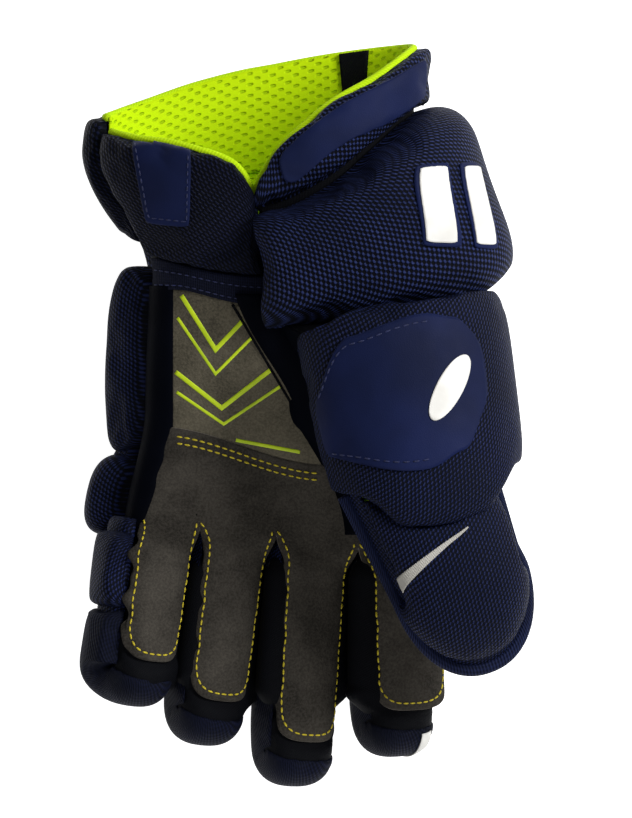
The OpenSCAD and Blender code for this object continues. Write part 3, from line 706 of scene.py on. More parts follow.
def drop_on(surface, places):
    """Nearest points on a surface to places in millimetres, and the way out of it."""
    found = [surface.find_nearest(Vector(p) * MM) for p in places]
    return np.array([f[0] for f in found]) / MM, np.array([f[1] for f in found])


def drop_from_above(surface, places):
    """Points on a surface straight under places, or the nearest ones, and the way out of it."""
    found = []
    for p in places:
        hit = surface.ray_cast(Vector((p[0], p[1], HIGH_ABOVE)) * MM, Vector((0, 0, -1)))
        found.append(hit if hit[0] else surface.find_nearest(Vector(p) * MM))
    return np.array([f[0] for f in found]) / MM, np.array([f[1] for f in found])


def stitches(name, lines, onto, finish, pitch=3.5, length=2.8, width=0.5, lift=0.1):
    """Running stitches along lines in millimetres, each a round bead of thread pulled into the cloth."""
    surface = surface_of(onto)
    bm = bmesh.new()
    for line in lines:
        line = np.asarray(line, float)
        run = np.concatenate([[0], np.cumsum(np.linalg.norm(np.diff(line, axis=0), axis=1))])
        count = max(1, int(run[-1] / pitch))
        at = (np.arange(count) + 0.5) * run[-1] / count
        ends = [np.stack([np.interp(at + e, run, line[:, k]) for k in range(3)], -1)
                for e in (-length / 2, length / 2)]
        (a, na), (b, nb) = (drop_on(surface, e) for e in ends)
        for p, q, n in zip(a, b, na + nb):
            way = Vector(q - p)
            out = Vector(n).normalized()
            side = out.cross(way.normalized())
            turn = Matrix((side * width, out * width, way / 2)).transposed().to_4x4() * MM
            turn.translation = (Vector(p + q) / 2 + out * lift) * MM
            turn[3][3] = 1.0
            bmesh.ops.create_uvsphere(bm, u_segments=6, v_segments=5, radius=1.0, matrix=turn)
    return finish_piece(name, bm, [finish])


def settle(piece, onto, low, high, drop=drop_on):
    """Lays a slab on another piece: its base at one height over it, its face at another."""
    surface = surface_of(onto)
    mesh = piece.data
    places = np.array([v.co for v in mesh.vertices]) / MM
    ground, out = drop(surface, places)
    base_group = piece.vertex_groups["seam"].index
    for vert, p, n in zip(mesh.vertices, ground, out):
        height = low if any(g.group == base_group for g in vert.groups) else high
        vert.co = Vector(p + n * height) * MM
    return piece


def rounder(piece):
    smoothing = piece.modifiers.new("rounder", "SUBSURF")
    smoothing.levels = smoothing.render_levels = 1
    return piece


def on_body(piece, body, *nodes):
    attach(piece, body)
    if nodes:
        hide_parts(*nodes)
    return piece


def joint_place(name):
    """Place of a joint, in millimetres."""
    return np.array(next(j for j in frame["joints"] if j["name"] == name)["pos_m"]) / MM


def across_joint(piece, a, b, start, end, *nodes):
    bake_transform(piece, a, b, start=tuple(np.asarray(start) * MM), end=tuple(np.asarray(end) * MM))
    if nodes:
        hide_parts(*nodes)
    return piece


def puff(pads, steps=14, most=2.2):
    """Blows the pads up as sewn cloth held at its seams, and keeps the shape."""
    scene = bpy.context.scene
    rest = {}
    for pad in pads:
        rest[pad] = np.array([v.co for v in pad.data.vertices])
        cloth = pad.modifiers.new("cloth", "CLOTH")
        cloth.settings.quality = 4
        cloth.settings.mass = 0.15
        cloth.settings.tension_stiffness = cloth.settings.compression_stiffness = 12
        cloth.settings.bending_stiffness = 0.4
        cloth.settings.shrink_min = -0.035
        cloth.settings.use_pressure = True
        cloth.settings.uniform_pressure_force = 3.0
        cloth.settings.vertex_group_mass = "seam"
        cloth.settings.effector_weights.gravity = 0
        cloth.collision_settings.use_collision = False
        cloth.point_cache.frame_end = steps
    for step in range(1, steps + 1):
        scene.frame_set(step)
    graph = bpy.context.evaluated_depsgraph_get()
    for pad in pads:
        blown = np.array([v.co for v in pad.evaluated_get(graph).data.vertices])
        pad.modifiers.remove(pad.modifiers["cloth"])
        move = blown - rest[pad]
        far = np.linalg.norm(move, axis=1, keepdims=True)
        move *= np.minimum(1, most * MM / np.maximum(far, 1e-9))
        blown = rest[pad] + move
        blown[:, 2] = np.maximum(blown[:, 2], 0)
        pad.data.vertices.foreach_set("co", blown.astype(np.float32).ravel())
        pad.data.update()
    scene.frame_set(1)


def rounded(u, v, corner):
    """Pulls the corners of a square in, for pads with round corners."""
    a, b = 2 * u - 1, 2 * v - 1
    return (a * (1 - corner * np.abs(b) ** 5) + 1) / 2, (b * (1 - corner * np.abs(a) ** 5) + 1) / 2


def pad_rule(pt, start, stop, th0, th1, t0, edge, full, roundness, corner=0.06, across=None):
    """Pad on the hand or a digit, whose pt gives its places, between two ends and two angles."""
    def rule(u, v, raised):
        u, v = soft(u), soft(v)
        a, b = rounded(u, v, corner)
        th = mix(th0, th1, b)
        return pt(mix(start(th), stop(th), a), th, t0 + raised * pillow(u, v, edge, full, roundness, across))
    return rule


def hood(g, start, last_turn, wrap, t0, edge, full, tip, roundness, across):
    """Pad on the back of a digit that turns over its tip."""
    def rule(u, v, raised):
        u, v = soft(u), soft(v)
        q = mix(start(mix(180, 360, v)), g.hood_end(last_turn), u)
        height = pillow(u, v, edge, mix(full, tip, smooth(g.turn(q) / 90)), roundness, across)
        return g.hood_pt(q, g.hood_th(q, wrap, v), t0 + raised * height)
    return rule


def always(value):
    """An end that is the same at every angle."""
    return lambda th: value + 0 * th


def eased(path, rounds=14):
    """The same path with its corners worn round."""
    for _ in range(rounds):
        path[1:-1] = (path[:-2] + 2 * path[1:-1] + path[2:]) / 4
    return path


def even(path, step):
    """The same path in equal steps."""
    run = np.concatenate([[0], np.cumsum(np.linalg.norm(np.diff(path, axis=0), axis=1))])
    at = np.linspace(0, run[-1], int(run[-1] / step) + 1)
    return np.stack([np.interp(at, run, path[:, k]) for k in range(3)], -1)


# Palm and finger leather: four strips that share one palm

# Lengths from the finger's root: the palm's last row, the last row in even steps, where each border of the
# strips comes open, and over what length it opens
PALM_ROW, FREE_ROW = -10.0, 12.0
CROTCH = (-8.0, -3.0, 1.0, 7.0, 4.0)
OPENING = 13.0
# Width of a strip against LEATHER_HALF_TH, how much wider the index finger's is, and a strip's height
MARGIN, INDEX_WIDER = 1.12, 7.0
LEATHER_T = SKIN + LEATHER
STRIP_COLUMNS = 18
# Reach of the bends before and after a finger's root, and on each side of its own bend
ROOT_BEND, MIDDLE_BEND = (9.0, 12.0), 9.0


def palm_left(y):
    """X of the palm leather's edge on the little finger side."""
    return along(y, (ROOT_Y, -75), (-50, -68), (-38, -64), (-26, -60), (WRIST_Y, -60))


def palm_right(y):
    return hand_pt(y, palm_edge_th(y), LEATHER_T)[..., 0]


def seam_y(x):
    """Y of the seam between the heel of the palm and the finger leather."""
    return along(x, (-66, -27), (12, -45), (40, -47))


def turn_at(x, y, t):
    """Angle at which the hand has a given X."""
    g = hand_space(y)
    return np.degrees(np.arccos(np.clip(signed_power((x - g.x) / (g.half_w + t), g.square / 2), -1, 1)))


def strip_borders(y):
    """X of the five borders of the four strips on the palm."""
    edge_th = 90 + LEATHER_HALF_TH * np.array([1, -1])
    edges = [digits[n].pt(np.zeros(2), edge_th, LEATHER_T)[:, 0] for n in FINGERS]
    at_root = [edges[0][0], *((a[1] + b[0]) / 2 for a, b in zip(edges, edges[1:])), edges[3][1]]
    f = smooth((HEEL_Y - y) / (HEEL_Y - ROOT_Y))
    return [mix(mix(palm_left(y), palm_right(y), k / 4), at_root[k], f) for k in range(5)]


def round_end(w, depth, square):
    """How far a rounded end lies back at w, which runs from -1 to 1 across it."""
    return depth * (1 - np.maximum(0, 1 - np.abs(w) ** square) ** (1 / square))


def leather_end(name, w):
    """Length at which a strip ends, round across its width."""
    return digits[name].straight - 4 - round_end(w, depth=13, square=2.3)


def leather_pt(name, w, r, t):
    """Place on a strip: w runs from -1 to 1 across it, r along it from the finger's root."""
    i = FINGERS.index(name)
    y = ROOT_Y - r
    borders = strip_borders(y)
    share = (w + 1) / 2
    x = mix(borders[i], borders[i + 1], share)
    above = smooth((PALM_ROW - r) / (PALM_ROW - ROOT_Y + HEEL_Y))
    palm = palm_pt(x, y + above * (seam_y(x) - HEEL_Y), t + 0.7 * smooth((-24 - r) / 8))
    start = mix(CROTCH[i], CROTCH[i + 1], share)
    loose = smooth((r - start) / OPENING)
    # The free rim is ruffled, most on the little finger's outer side
    rim = smooth((np.abs(w) - 0.66) / 0.34) * loose
    phase = 1.7 * i + 2.1 * np.sign(w)
    ruffle = np.sin(r / 3.0 + phase) + 0.7 * np.sin(r / 1.75 + 2 * phase)
    strong = np.where(w > 0, 0.45, 1.3 if i == 0 else 0.95)
    th = 90 - LEATHER_HALF_TH * w * MARGIN * (1 + 0.055 * strong * ruffle * rim)
    finger = digits[name].pt(r, th, t + strong * rim * (0.9 * ruffle + 0.8))
    if name == "index":
        wider = INDEX_WIDER * smooth((w + 0.3) / 1.3) * smooth((r - 16) / 30)
        finger = finger + wider[..., None] * digits[name].side
    return mix(palm, finger, loose[..., None])


def strip_rows(name):
    """Rows of a strip: a fixed length, and the share of the way from there to its end."""
    half = bend_at(name) / 2
    fixed = [*np.arange(ROOT_Y - HEEL_Y - 2, FREE_ROW + 0.1, 2.0), *np.linspace(FREE_ROW, half, 6)[1:]]
    return np.array([(r, 0.0) for r in fixed] + [(half, f) for f in np.linspace(0, 1, 49)[1:]])


def palm_and_fingers():
    """One leather skin, cut where the palm, the finger roots and the fingertips part."""
    bm = bmesh.new()
    run = bm.verts.layers.float.new("run")
    strip = bm.verts.layers.int.new("strip")
    for i, name in enumerate(FINGERS):
        rows = strip_rows(name)
        before = len(bm.verts)
        bmesh.ops.create_grid(bm, x_segments=STRIP_COLUMNS, y_segments=len(rows) - 1, size=0.5)
        made = list(bm.verts)[before:]
        flat = np.array([v.co[:2] for v in made]) + 0.5
        w = 2 * flat[:, 0] - 1
        start, share = rows[np.rint(flat[:, 1] * (len(rows) - 1)).astype(int)].T
        r = mix(start, leather_end(name, w), share)
        for v, p, length in zip(made, leather_pt(name, w, r, LEATHER_T), r):
            v.co = Vector(p) * MM
            v[run], v[strip] = length, i
    bmesh.ops.remove_doubles(bm, verts=bm.verts, dist=STRIP_MERGE)
    bmesh.ops.recalc_face_normals(bm, faces=bm.faces)
    if sum(f.normal.z for f in bm.faces) < 0:
        bmesh.ops.reverse_faces(bm, faces=bm.faces)
    bm.normal_update()
    inner = bmesh.ops.extrude_face_region(bm, geom=bm.faces[:], use_keep_orig=True)
    inner = {g for g in inner["geom"] if isinstance(g, bmesh.types.BMVert)}
    set_order(bm)
    outward = {v: v.normal.copy() for v in bm.verts}
    for v in inner:
        v.co -= outward[v] * LEATHER * MM
    for face in bm.faces:
        face.material_index = int(len({v in inner for v in face.verts}) == 2)
    face_out(bm)

    def cut(name, keep):
        part = bm.copy()
        along_run, of_strip = part.verts.layers.float["run"], part.verts.layers.int["strip"]
        wrong = [f for f in part.faces if not keep(
            max(v[of_strip] for v in f.verts), sum(v[along_run] for v in f.verts) / len(f.verts))]
        bmesh.ops.delete(part, geom=wrong, context="FACES")
        return rounder(finish_piece(name, part, [SUEDE, SUEDE_EDGE]))

    made = {"palm": on_body(cut("palm_front_leather", lambda i, r: r < PALM_ROW), "hand", "palm_leather")}
    for i, name in enumerate(FINGERS):
        half = bend_at(name) / 2
        root = cut(f"{name}_root_leather", lambda k, r: k == i and PALM_ROW <= r < half)
        tip = cut(f"{name}_front_leather", lambda k, r: k == i and r >= half)
        root_bend(root, name, f"{name}_base_leather")
        middle_bend(tip, name, f"{name}_tip_leather")
        made[name] = (root, tip)
    bm.free()
    return made


def root_bend(piece, name, *nodes):
    g = digits[name]
    before, after = (reach * g.dir for reach in ROOT_BEND)
    return across_joint(piece, "hand", f"{name}_base", g.root - before, g.root + after, *nodes)


def middle_bend(piece, name, *nodes):
    g = digits[name]
    joint, reach = g.root + bend_at(name) * g.dir, MIDDLE_BEND * g.dir
    return across_joint(piece, f"{name}_base", f"{name}_tip", joint - reach, joint + reach, *nodes)


def finger_stitches(leathers):
    """Yellow stitches a little inside the cut edge of each finger's leather."""
    inset = 0.76
    for i, name in enumerate(FINGERS):
        half = bend_at(name) / 2
        root_lines = []
        for side, crotch in ((-1, CROTCH[i]), (1, CROTCH[i + 1])):
            r = np.linspace(crotch - 3, half, 30)
            bow = 1 - (1 - inset) * np.sqrt(np.clip((r - crotch + 3) / 10, 0, 1))
            root_lines.append(leather_pt(name, side * bow, r, LEATHER_T))
        w = inset * np.sin(np.linspace(-1, 1, 60) * math.pi / 2)
        end = leather_end(name, w / inset) - 3.4
        side_r = np.linspace(half, end[0], 40)
        loop = np.concatenate([leather_pt(name, 0 * side_r - inset, side_r, LEATHER_T),
                               leather_pt(name, w, end, LEATHER_T),
                               leather_pt(name, 0 * side_r + inset, side_r[::-1], LEATHER_T)])
        root, tip = leathers[name]
        root_bend(stitches(f"{name}_root_stitches", root_lines, root, YELLOW_THREAD), name)
        middle_bend(stitches(f"{name}_tip_stitches", [loop], tip, YELLOW_THREAD), name)


# Side cloth between two fingers: the length up to which it fills the gap, how far past the gap's middle it
# goes, and its most; and how full the cloth is at the tip, past the leather
FILLED = (63.0, 73.0, 73.0)
FILL_LAP = (-0.1, 0.1, 1.0)
FILL_MOST = 10.5
TIP_FILL = 2.0
GUSSET_T = 0.1


def side_room(name, s, side):
    """How far a finger's side cloth may bulge towards the next finger."""
    i = FINGERS.index(name)
    k = i if side > 0 else i - 1
    if not 0 <= k < 3:
        return 0 * s
    left, right = digits[FINGERS[k]], digits[FINGERS[k + 1]]
    room = right.pt(s, 180, GUSSET_T)[..., 0] - left.pt(s, 0, GUSSET_T)[..., 0]
    filled = smooth((s - 4) / 8) * (1 - smooth((s - FILLED[k]) / 12))
    return np.clip(room / 2 + FILL_LAP[k], 0, FILL_MOST) * filled


def finger_gussets():
    """Black stretch cloth round each finger, from inside the hand to the tip."""
    for name in FINGERS:
        g = digits[name]
        half = bend_at(name) / 2

        def around(s0, s1):
            def rule(u, v, raised):
                s, th = mix(s0, s1, v), 360 * u
                bulge = np.where(cosd(th) > 0, side_room(name, s, 1), -side_room(name, s, -1))
                out = bulge * np.abs(cosd(th)) ** 3
                w = np.clip((90 - th) / (LEATHER_HALF_TH * MARGIN), -1, 1)
                bare = smooth((s - leather_end(name, w) - 0.5) / 4) * smooth((sind(th) + 0.35) / 0.3)
                full = TIP_FILL * bare * (1 - smooth((s - g.straight - 5) / 5))
                return g.pt(s, th, GUSSET_T + full - 8 * smooth((20 - s) / 20)) + out[..., None] * g.side
            return rule

        root_bend(skin(f"{name}_root_gusset", around(-3, half), 40, 26, STRETCH, wrap=True), name,
                  f"{name}_base_gusset")
        middle_bend(skin(f"{name}_front_gusset", around(half, g.length), 40, 60, STRETCH, wrap=True), name,
                    f"{name}_tip_gusset")


def finger_pads():
    made = []
    for name in FINGERS:
        g = digits[name]
        joint, gap = bend_at(name), JOINT_GAP / 2
        rule = pad_rule(g.pt, always(0.2), always(joint - gap), 180 - BACK_WRAP, 360 + BACK_WRAP, PAD_SKIN,
                        edge=FINGER_SIDE - PAD_SKIN, full=FINGER_PAD - PAD_SKIN, roundness=3.4, corner=0.05)
        knuckle = slab(f"{name}_knuckle_pad", rule, 18, 34, FINE_MESH)
        on_body(knuckle, f"{name}_base", f"{name}_base_pad")
        rule = hood(g, always(joint + gap), CAP_TURN, BACK_WRAP, HOOD_SKIN, edge=FINGER_SIDE - HOOD_SKIN,
                    full=FINGER_PAD - HOOD_SKIN, tip=FINGER_TIP - HOOD_SKIN, roundness=(3.6, 1.5), across=2.8)
        cap = slab(f"{name}_cap", rule, 44, 34, CAP_CLOTH)
        on_body(cap, f"{name}_tip", f"{name}_tip_pad")
        made += [knuckle, cap]
    return made


def finger_bands():
    """Soft cloth between neighbouring pads on the back of each finger."""
    length, share = 12, 0.58
    for name in FINGERS:
        g = digits[name]
        th0, th1 = 172 if name == "pinky" else 190, 350

        def band(middle):
            def rule(u, v, raised):
                full = share * mix(FINGER_SIDE, FINGER_PAD, swell(v, 2.8)) * (0.75 + 0.25 * swell(u, 2))
                return g.pt(middle + length * (u - 0.5), mix(th0, th1, v), SKIN + raised * full)
            return rule

        root_bend(slab(f"{name}_root_band", band(0), 8, 30, FINE_MESH), name)
        middle_bend(slab(f"{name}_middle_band", band(bend_at(name)), 8, 30, FINE_MESH), name)


# The hand's other pieces

def palm_heel():
    def rule(u, v, raised):
        across = mix(palm_left(WRIST_Y), palm_right(WRIST_Y - 40), v)
        y = mix(seam_y(across) - 2, WRIST_Y - 6, u)
        return palm_pt(mix(palm_left(y), palm_right(y), v), y, SKIN + LEATHER * raised)

    # The heel leather's lighter suede is partly painted light.
    return on_body(slab("heel_leather", rule, 44, 52, LIT_HEEL_SUEDE, SUEDE_EDGE), "hand", "palm_heel")


def hand_linings():
    """Lining of the hand, of the ball of the thumb and of the wrist."""
    hand_th1, ball_th0, ball_th1 = 326, -55, 163

    def inside(u, v, raised):
        y = mix(ROOT_Y + 5.5, WRIST_Y - JOINT_GAP, u)
        return hand_pt(y, mix(palm_edge_th(y), hand_th1, v), -FABRIC * raised)

    def ball_inside(u, v, raised):
        th = mix(ball_th0, ball_th1, v)
        return base.pt(mix(base_start(th) + 2.5, base_stop(th) - 4, u), th, -FABRIC * raised)

    def wrist_inside(u, v, raised):
        th = mix(ROLL_TH0, CUFF_TH1, v)
        return hand_pt(mix(WRIST_Y - along(th, (400, 0.4), (NOTCH_TURN, 22)), cuff_seam(th) - 3, u), th,
                       -FABRIC * raised)

    on_body(slab("hand_lining_cloth", inside, 24, 72, NEON, under=STRETCH), "hand", "hand_lining")
    on_body(slab("thumb_ball_lining", ball_inside, 16, 40, NEON, under=STRETCH), "hand", "thumb_base_lining")
    on_body(slab("wrist_lining", wrist_inside, 16, 90, NEON, under=STRETCH), "hand")


def hand_pads():
    """Rolls on the side and back of the hand and round the wrist."""
    side_th0, back_th1 = 179, 332
    rule = pad_rule(hand_pt, always(HEEL_Y + 5), always(WRIST_Y + 4), side_th0, ULNAR_SPLIT, PAD_SKIN,
                    edge=5, full=ULNAR_PAD, roundness=4, across=2.6)
    ulnar = on_body(slab("ulnar_side_pad", rule, 30, 24, FINE_MESH), "hand", "ulnar_pad")
    limits, gap_th = (180, 218, 248, 286, 330), 1.2
    knuckles = []
    for name, th0, th1 in zip(FINGERS, limits, limits[1:]):
        rule = pad_rule(hand_pt, always(ROOT_Y), always(HEEL_Y + 4), th0 + gap_th / 2, th1 - gap_th / 2,
                        PAD_T0, edge=6, full=BACK_PAD - PAD_T0, roundness=3.2)
        roll = slab(f"knuckle_roll_{name}", rule, 20, 22, FINE_MESH)
        knuckles.append(on_body(roll, "hand", "knuckle_rolls"))
    rule = pad_rule(hand_pt, always(HEEL_Y + 6), always(WRIST_Y - 10), ROLL_TH0, back_th1, PAD_T0,
                    edge=6, full=BACK_PAD - PAD_T0 + 0.6, roundness=3.4)
    back = on_body(slab("backhand_pad", rule, 26, 42, NAVY_MESH), "hand", "backhand_roll")

    def roll_start(th):
        return WRIST_Y - along(th, (215, 8), (290, 8), (360, 6), (405, 17), (NOTCH_TURN, 26))

    def roll_stop(th):
        return cuff_seam(th) - 3 * JOINT_GAP

    rule = pad_rule(hand_pt, roll_start, roll_stop, ROLL_TH0, CUFF_TH1 + 3, PAD_T0,
                    edge=7, full=WRIST_ROLL - PAD_T0, roundness=(3.4, 2.6), corner=0.015, across=(2.6, 4))
    wrist = on_body(slab("wrist_pad", rule, 36, 96, NAVY_MESH), "hand", "wrist_roll")
    return [ulnar, *knuckles, back, wrist]


def back_base():
    """Foam backing that joins the rolls on the back of the hand, thicker in the crease between them."""
    th0, th1, thick, crease_thick = 181, 331, 7.5, 6

    def rule(u, v, raised):
        th, y = mix(th0, th1, v), mix(ROOT_Y + 1, WRIST_Y - 4, u)
        crease = np.exp(-((y - HEEL_Y - 4.5) / 4) ** 2) * smooth((212 - th) / 25)
        return hand_pt(y, th, PAD_T0 + raised * (thick * smooth((th - 180) / 8) + crease_thick * crease))

    on_body(slab("back_base_foam", rule, 60, 50, FINE_MESH), "hand")


def radial_wall():
    """Stretch cloth on the thumb's side of the hand, under the ball of the thumb."""
    y0, th0, sunk_back, sunk_palm = 18, 316, -9.5, -4

    def rule(u, v, raised):
        y = mix(y0, WRIST_Y - 1, u)
        th = mix(th0, 362 + palm_edge_th(y), v)
        sunk = mix(sunk_back, sunk_palm, smooth((th - 350) / 40))
        return hand_pt(y, th, mix(sunk, 0.2, smooth((y - 28) / 15)) + 0.5 * raised)

    on_body(slab("radial_wall_cloth", rule, 12, 48, STRETCH, under=NEON), "hand")


def front_wall():
    """Stretch cloth that closes the hand in front, between the finger roots."""
    def rule(u, v, raised):
        y = ROOT_Y + 5 + 0 * u
        edge = hand_pt(y, 360 * u, -0.3)
        g = hand_space(y)
        return mix(points(g.x, y, g.floor + g.half_h), edge, v[..., None])

    wall = skin("hand_front_wall", rule, 48, 8, STRETCH, wrap=True)
    on_body(lined(wall, WALL, THUMB_HOLE, NEON), "hand")


def web(start, stop, edge_start, edge_stop, swelling):
    """Web from the ball of the thumb, between two (s, turn), to the hand, between two (y, turn)."""
    def rule(u, v, raised):
        s, th = mix(start[0], stop[0], u), mix(start[1], stop[1], u)
        low = hand_pt(mix(edge_start[0], edge_stop[0], u), mix(edge_start[1], edge_stop[1], u), 0.8)
        bow = 16 * u * (1 - u) * v * (1 - v)
        return mix(base.pt(s, th, 2.2), low, v[..., None]) + bow[..., None] * np.array(swelling)
    return rule


def thumb_webs():
    """Four webs that close the space between the hand and the ball of the thumb."""
    # Ends of the webs on the hand and on the ball, and their angles
    back, front_y, ends = 27, ROOT_Y + 9, BASE_LEN - 19
    palm, outer, under = 167, -57, -32
    palm_back, palm_front = palm_edge_th(back) - 3, palm_edge_th(front_y) - 3
    near_palm = base_start(palm) + 1.5, palm
    near_outer = base_start(outer) + 1.5, outer + 5
    webs = {
        "thumb_web_palm": web(near_palm, (ends, palm), (back, palm_back), (front_y, palm_front), (3, 0, 0)),
        "thumb_web_outer": web(near_outer, (ends, outer), (back, under), (front_y, under), (2, 0, 0)),
        "thumb_web_crotch": web((ends, palm), (ends, outer + 360), (front_y, palm_front), (front_y, under),
                                (0, 4, 0)),
        "thumb_web_wrist": web(near_outer, near_palm, (back, under), (back, palm_back), (0, 0, 0)),
    }

    for name, rule in webs.items():
        cloth = skin(name, rule, 30, 14, DARK_NAVY if name == "thumb_web_palm" else STRETCH)
        on_body(lined(cloth, 0.8, THUMB_HOLE, STRETCH if name == "thumb_web_crotch" else NEON), "hand")


def thumb_root():
    """Cloth that joins the ball of the thumb to the thumb, under its bend."""
    th0, th1 = 160, 380

    def rule(u, v, raised):
        th = mix(th0, th1, u)
        lap = 1.7 + 1.1 * smooth((th - BASE_TH1) / 8) * smooth((300 - th) / 8)
        return mix(base.pt(BASE_LEN - 21 + 0 * u, th, lap), thumb.pt(2 + 0 * u, th - 180, 0.3), v[..., None])

    cone = lined(skin("thumb_root_cloth", rule, 44, 10, STRETCH), WALL, THUMB_HOLE, NEON)
    across_joint(cone, "hand", "thumb", THUMB_HINGE - 9 * thumb.dir, THUMB_HINGE + 4 * thumb.dir)


def side_panel():
    """Dark panel between the palm's leather and the pad on the little finger side."""
    th1, edge, full = 178, 0.6, LEATHER + 0.9

    def rule(u, v, raised):
        y = mix(ROOT_Y, WRIST_Y - 5, u)
        inner = turn_at(palm_left(y) + 1.5, y, LEATHER_T)
        return hand_pt(y, mix(inner, th1, v), SKIN + raised * (edge + full * swell(v, (3, 4))))

    on_body(slab("side_panel", rule, 44, 14, DARK_NAVY), "hand", "ulnar_side_panel")


def palm_tapes():
    """Tape across the wrist, and the raised strip beside the ball of the thumb."""
    tape, strip_edge, strip = LEATHER + 1, 1.2, LEATHER + 2.2

    def wrist(u, v):
        th = mix(palm_edge_th(WRIST_Y - 4) - 6, SLOT_TH, v)
        return mix(mix(31.5, 39, smooth(v * 1.6)), flap_seam(th) - JOINT_GAP, u), th

    def flat_tape(u, v, raised):
        return hand_pt(*wrist(u, v), SKIN + tape * raised)

    band = on_body(slab("wrist_tape", flat_tape, 10, 64, TAPE), "hand", "palm_seam_tape")
    v = np.linspace(0.02, 0.97, 80)
    rows = [hand_pt(*wrist(0 * v + u, v), SKIN + tape) for u in (0.16, 0.62)]
    rows = stitches("wrist_tape_stitches", rows, band, NAVY_THREAD, pitch=3.4, length=2.5, width=0.4)
    on_body(rows, "hand")

    def ridge(u, v, raised):
        y = mix(ROOT_Y, WRIST_Y - 9, u)
        th = mix(palm_edge_th(y) - 6, palm_edge_th(y) + 7, v)
        return hand_pt(y, th, SKIN + raised * (strip_edge + strip * swell(v, 2.2)))

    on_body(slab("thenar_strip", ridge, 64, 12, DARK_NAVY), "hand", "thenar_tape")


def thumb_base():
    """Pad on the ball of the thumb; its soft lower lip lies over the thumb and bends with it."""
    def rule(u, v, raised):
        u, v = soft(u), soft(v)
        a, b = rounded(u, v, 0.03)
        th = mix(BASE_TH0 + 2 + 5 * (1 - smooth(a / 0.3)), BASE_TH1, b)
        lip = 10.5 * smooth((138 - th) / 34) * smooth((th - 30) / 34)
        reach = mix(base_start(th), base_stop(th) + lip, a)
        under = PAD_T0 + 8.5 * smooth((reach - 76) / 9)
        top = PAD_T0 + pillow(u, v, edge=6, full=BALL_PAD, lengthwise=(3.6, 5), across=(3.0, 1.7))
        return base.pt(reach, th, mix(under, np.maximum(top, under + 2), raised))

    ball = slab("thumb_ball_pad", rule, 44, 64, FINE_MESH)
    lip_root, lip_end = THUMB_TOP + 1 * thumb.dir, THUMB_TOP + 13 * thumb.dir
    return across_joint(ball, "hand", "thumb", lip_root, lip_end, "thumb_base_pad")


def thumb_base_patch(ball):
    """Smooth patch sewn on the ball of the thumb."""
    th0, th1 = 56, 150

    def rule(u, v, raised):
        a, b = rounded(u, v, 0.09)
        th = mix(th0, th1, b)
        top = along(th, (th0, 10), (70, 0), (85, -3), (115, 2), (th1, 27))
        bottom = BASE_LEN - along(th, (th0, 40), (75, 21), (92, 15), (th1, 28))
        return base.pt(mix(top, bottom, a), th, PAD_T0 + BALL_PAD + raised)

    patch = settle(slab("thumb_ball_patch", rule, 40, 52, SMOOTH_NAVY), ball, 0.15, PATCH)
    on_body(patch, "hand", "thumb_base_patch")
    v = np.linspace(0.04, 0.96, 70)
    lines = [rule(0 * v + u, v, 1) for u in (0.06, 0.94)]
    rows = stitches("thumb_patch_stitches", lines, patch, NAVY_THREAD, pitch=4.4, length=3.2, width=0.45)
    on_body(rows, "hand")
    return patch


# The thumb

def thumb_pieces():
    """The thumb's pad with its piping, its side cloth and its leather."""
    t0 = PAD_T0 + PAD_SKIN
    rule = hood(thumb, thumb_start, THUMB_TURN, THUMB_WRAP, t0, edge=2.0, full=THUMB_PAD - t0,
                tip=THUMB_TIP - 3.5, roundness=2.2, across=2.4)
    pad = on_body(slab("thumb_top_pad", rule, 44, 46, FINE_MESH), "thumb", "thumb_pad")

    def around(u, v, raised):
        s, th = mix(-12, thumb.length, v), 360 * u
        return thumb.pt(s, th, GUSSET_T + 3 * smooth((4 - s) / 6) * smooth(-sind(th)))

    gusset = skin("thumb_gusset_cloth", around, 44, 50, STRETCH, wrap=True)
    across_joint(gusset, "hand", "thumb", THUMB_HINGE - 11 * thumb.dir, THUMB_HINGE + 8 * thumb.dir,
                 "thumb_gusset")

    def inside(u, v, raised):
        w = 2 * v - 1
        s = mix(JOINT_GAP, thumb.length - 14 - round_end(w, depth=14, square=2.4), u)
        rim = smooth((np.abs(w) - 0.7) / 0.3)
        wavy = rim * (np.sin(s / 3.4) + 0.6 * np.sin(s / 2.1 + 1))
        th = 90 - THUMB_LEATHER_HALF_TH * w * (1 + 0.02 * wavy)
        return thumb.pt(s, th, SKIN + LEATHER * raised + 0.5 * wavy + 0.6 * rim)

    leather = slab("thumb_inside_leather", inside, 44, 40, SUEDE, SUEDE_EDGE)
    on_body(leather, "thumb", "thumb_leather")

    def edge_path(radial_th, inner_th, radial_t, tip_t, inner_t, last_turn):
        """Path round the pad: up its outer side, over the tip and down its inner side."""
        f = np.linspace(0, 1, 60)
        turn = np.linspace(0, 1, 140)
        tip_out = mix(radial_t, tip_t, smooth(1.3 * turn))
        radial = thumb.hood_pt(mix(-3, thumb.straight, f), radial_th, radial_t)
        tip = thumb.hood_pt(thumb.hood_end(last_turn), mix(184, 356, turn), tip_out)
        inner = thumb.hood_pt(mix(thumb.straight, -20, f), inner_th, mix(tip_t, inner_t, f))
        return eased(np.concatenate([radial, tip, inner]))

    path = edge_path(168, 372, radial_t=7.5, tip_t=4.6, inner_t=6.5, last_turn=94)
    on_body(tube("thumb_piping_roll", path, PIPING_D / 2, PIPING_CLOTH, 16), "thumb", "thumb_piping")
    hem = edge_path(200, 340, radial_t=3.6, tip_t=3.4, inner_t=3.6, last_turn=62)

    def flange(u, v, raised):
        k = np.rint(v * (len(path) - 1)).astype(int)
        return mix(hem[k], path[k], u[..., None])

    on_body(lined(skin("thumb_piping_flange", flange, 6, len(path) - 1, FINE_MESH), 1.2), "thumb")
    return pad


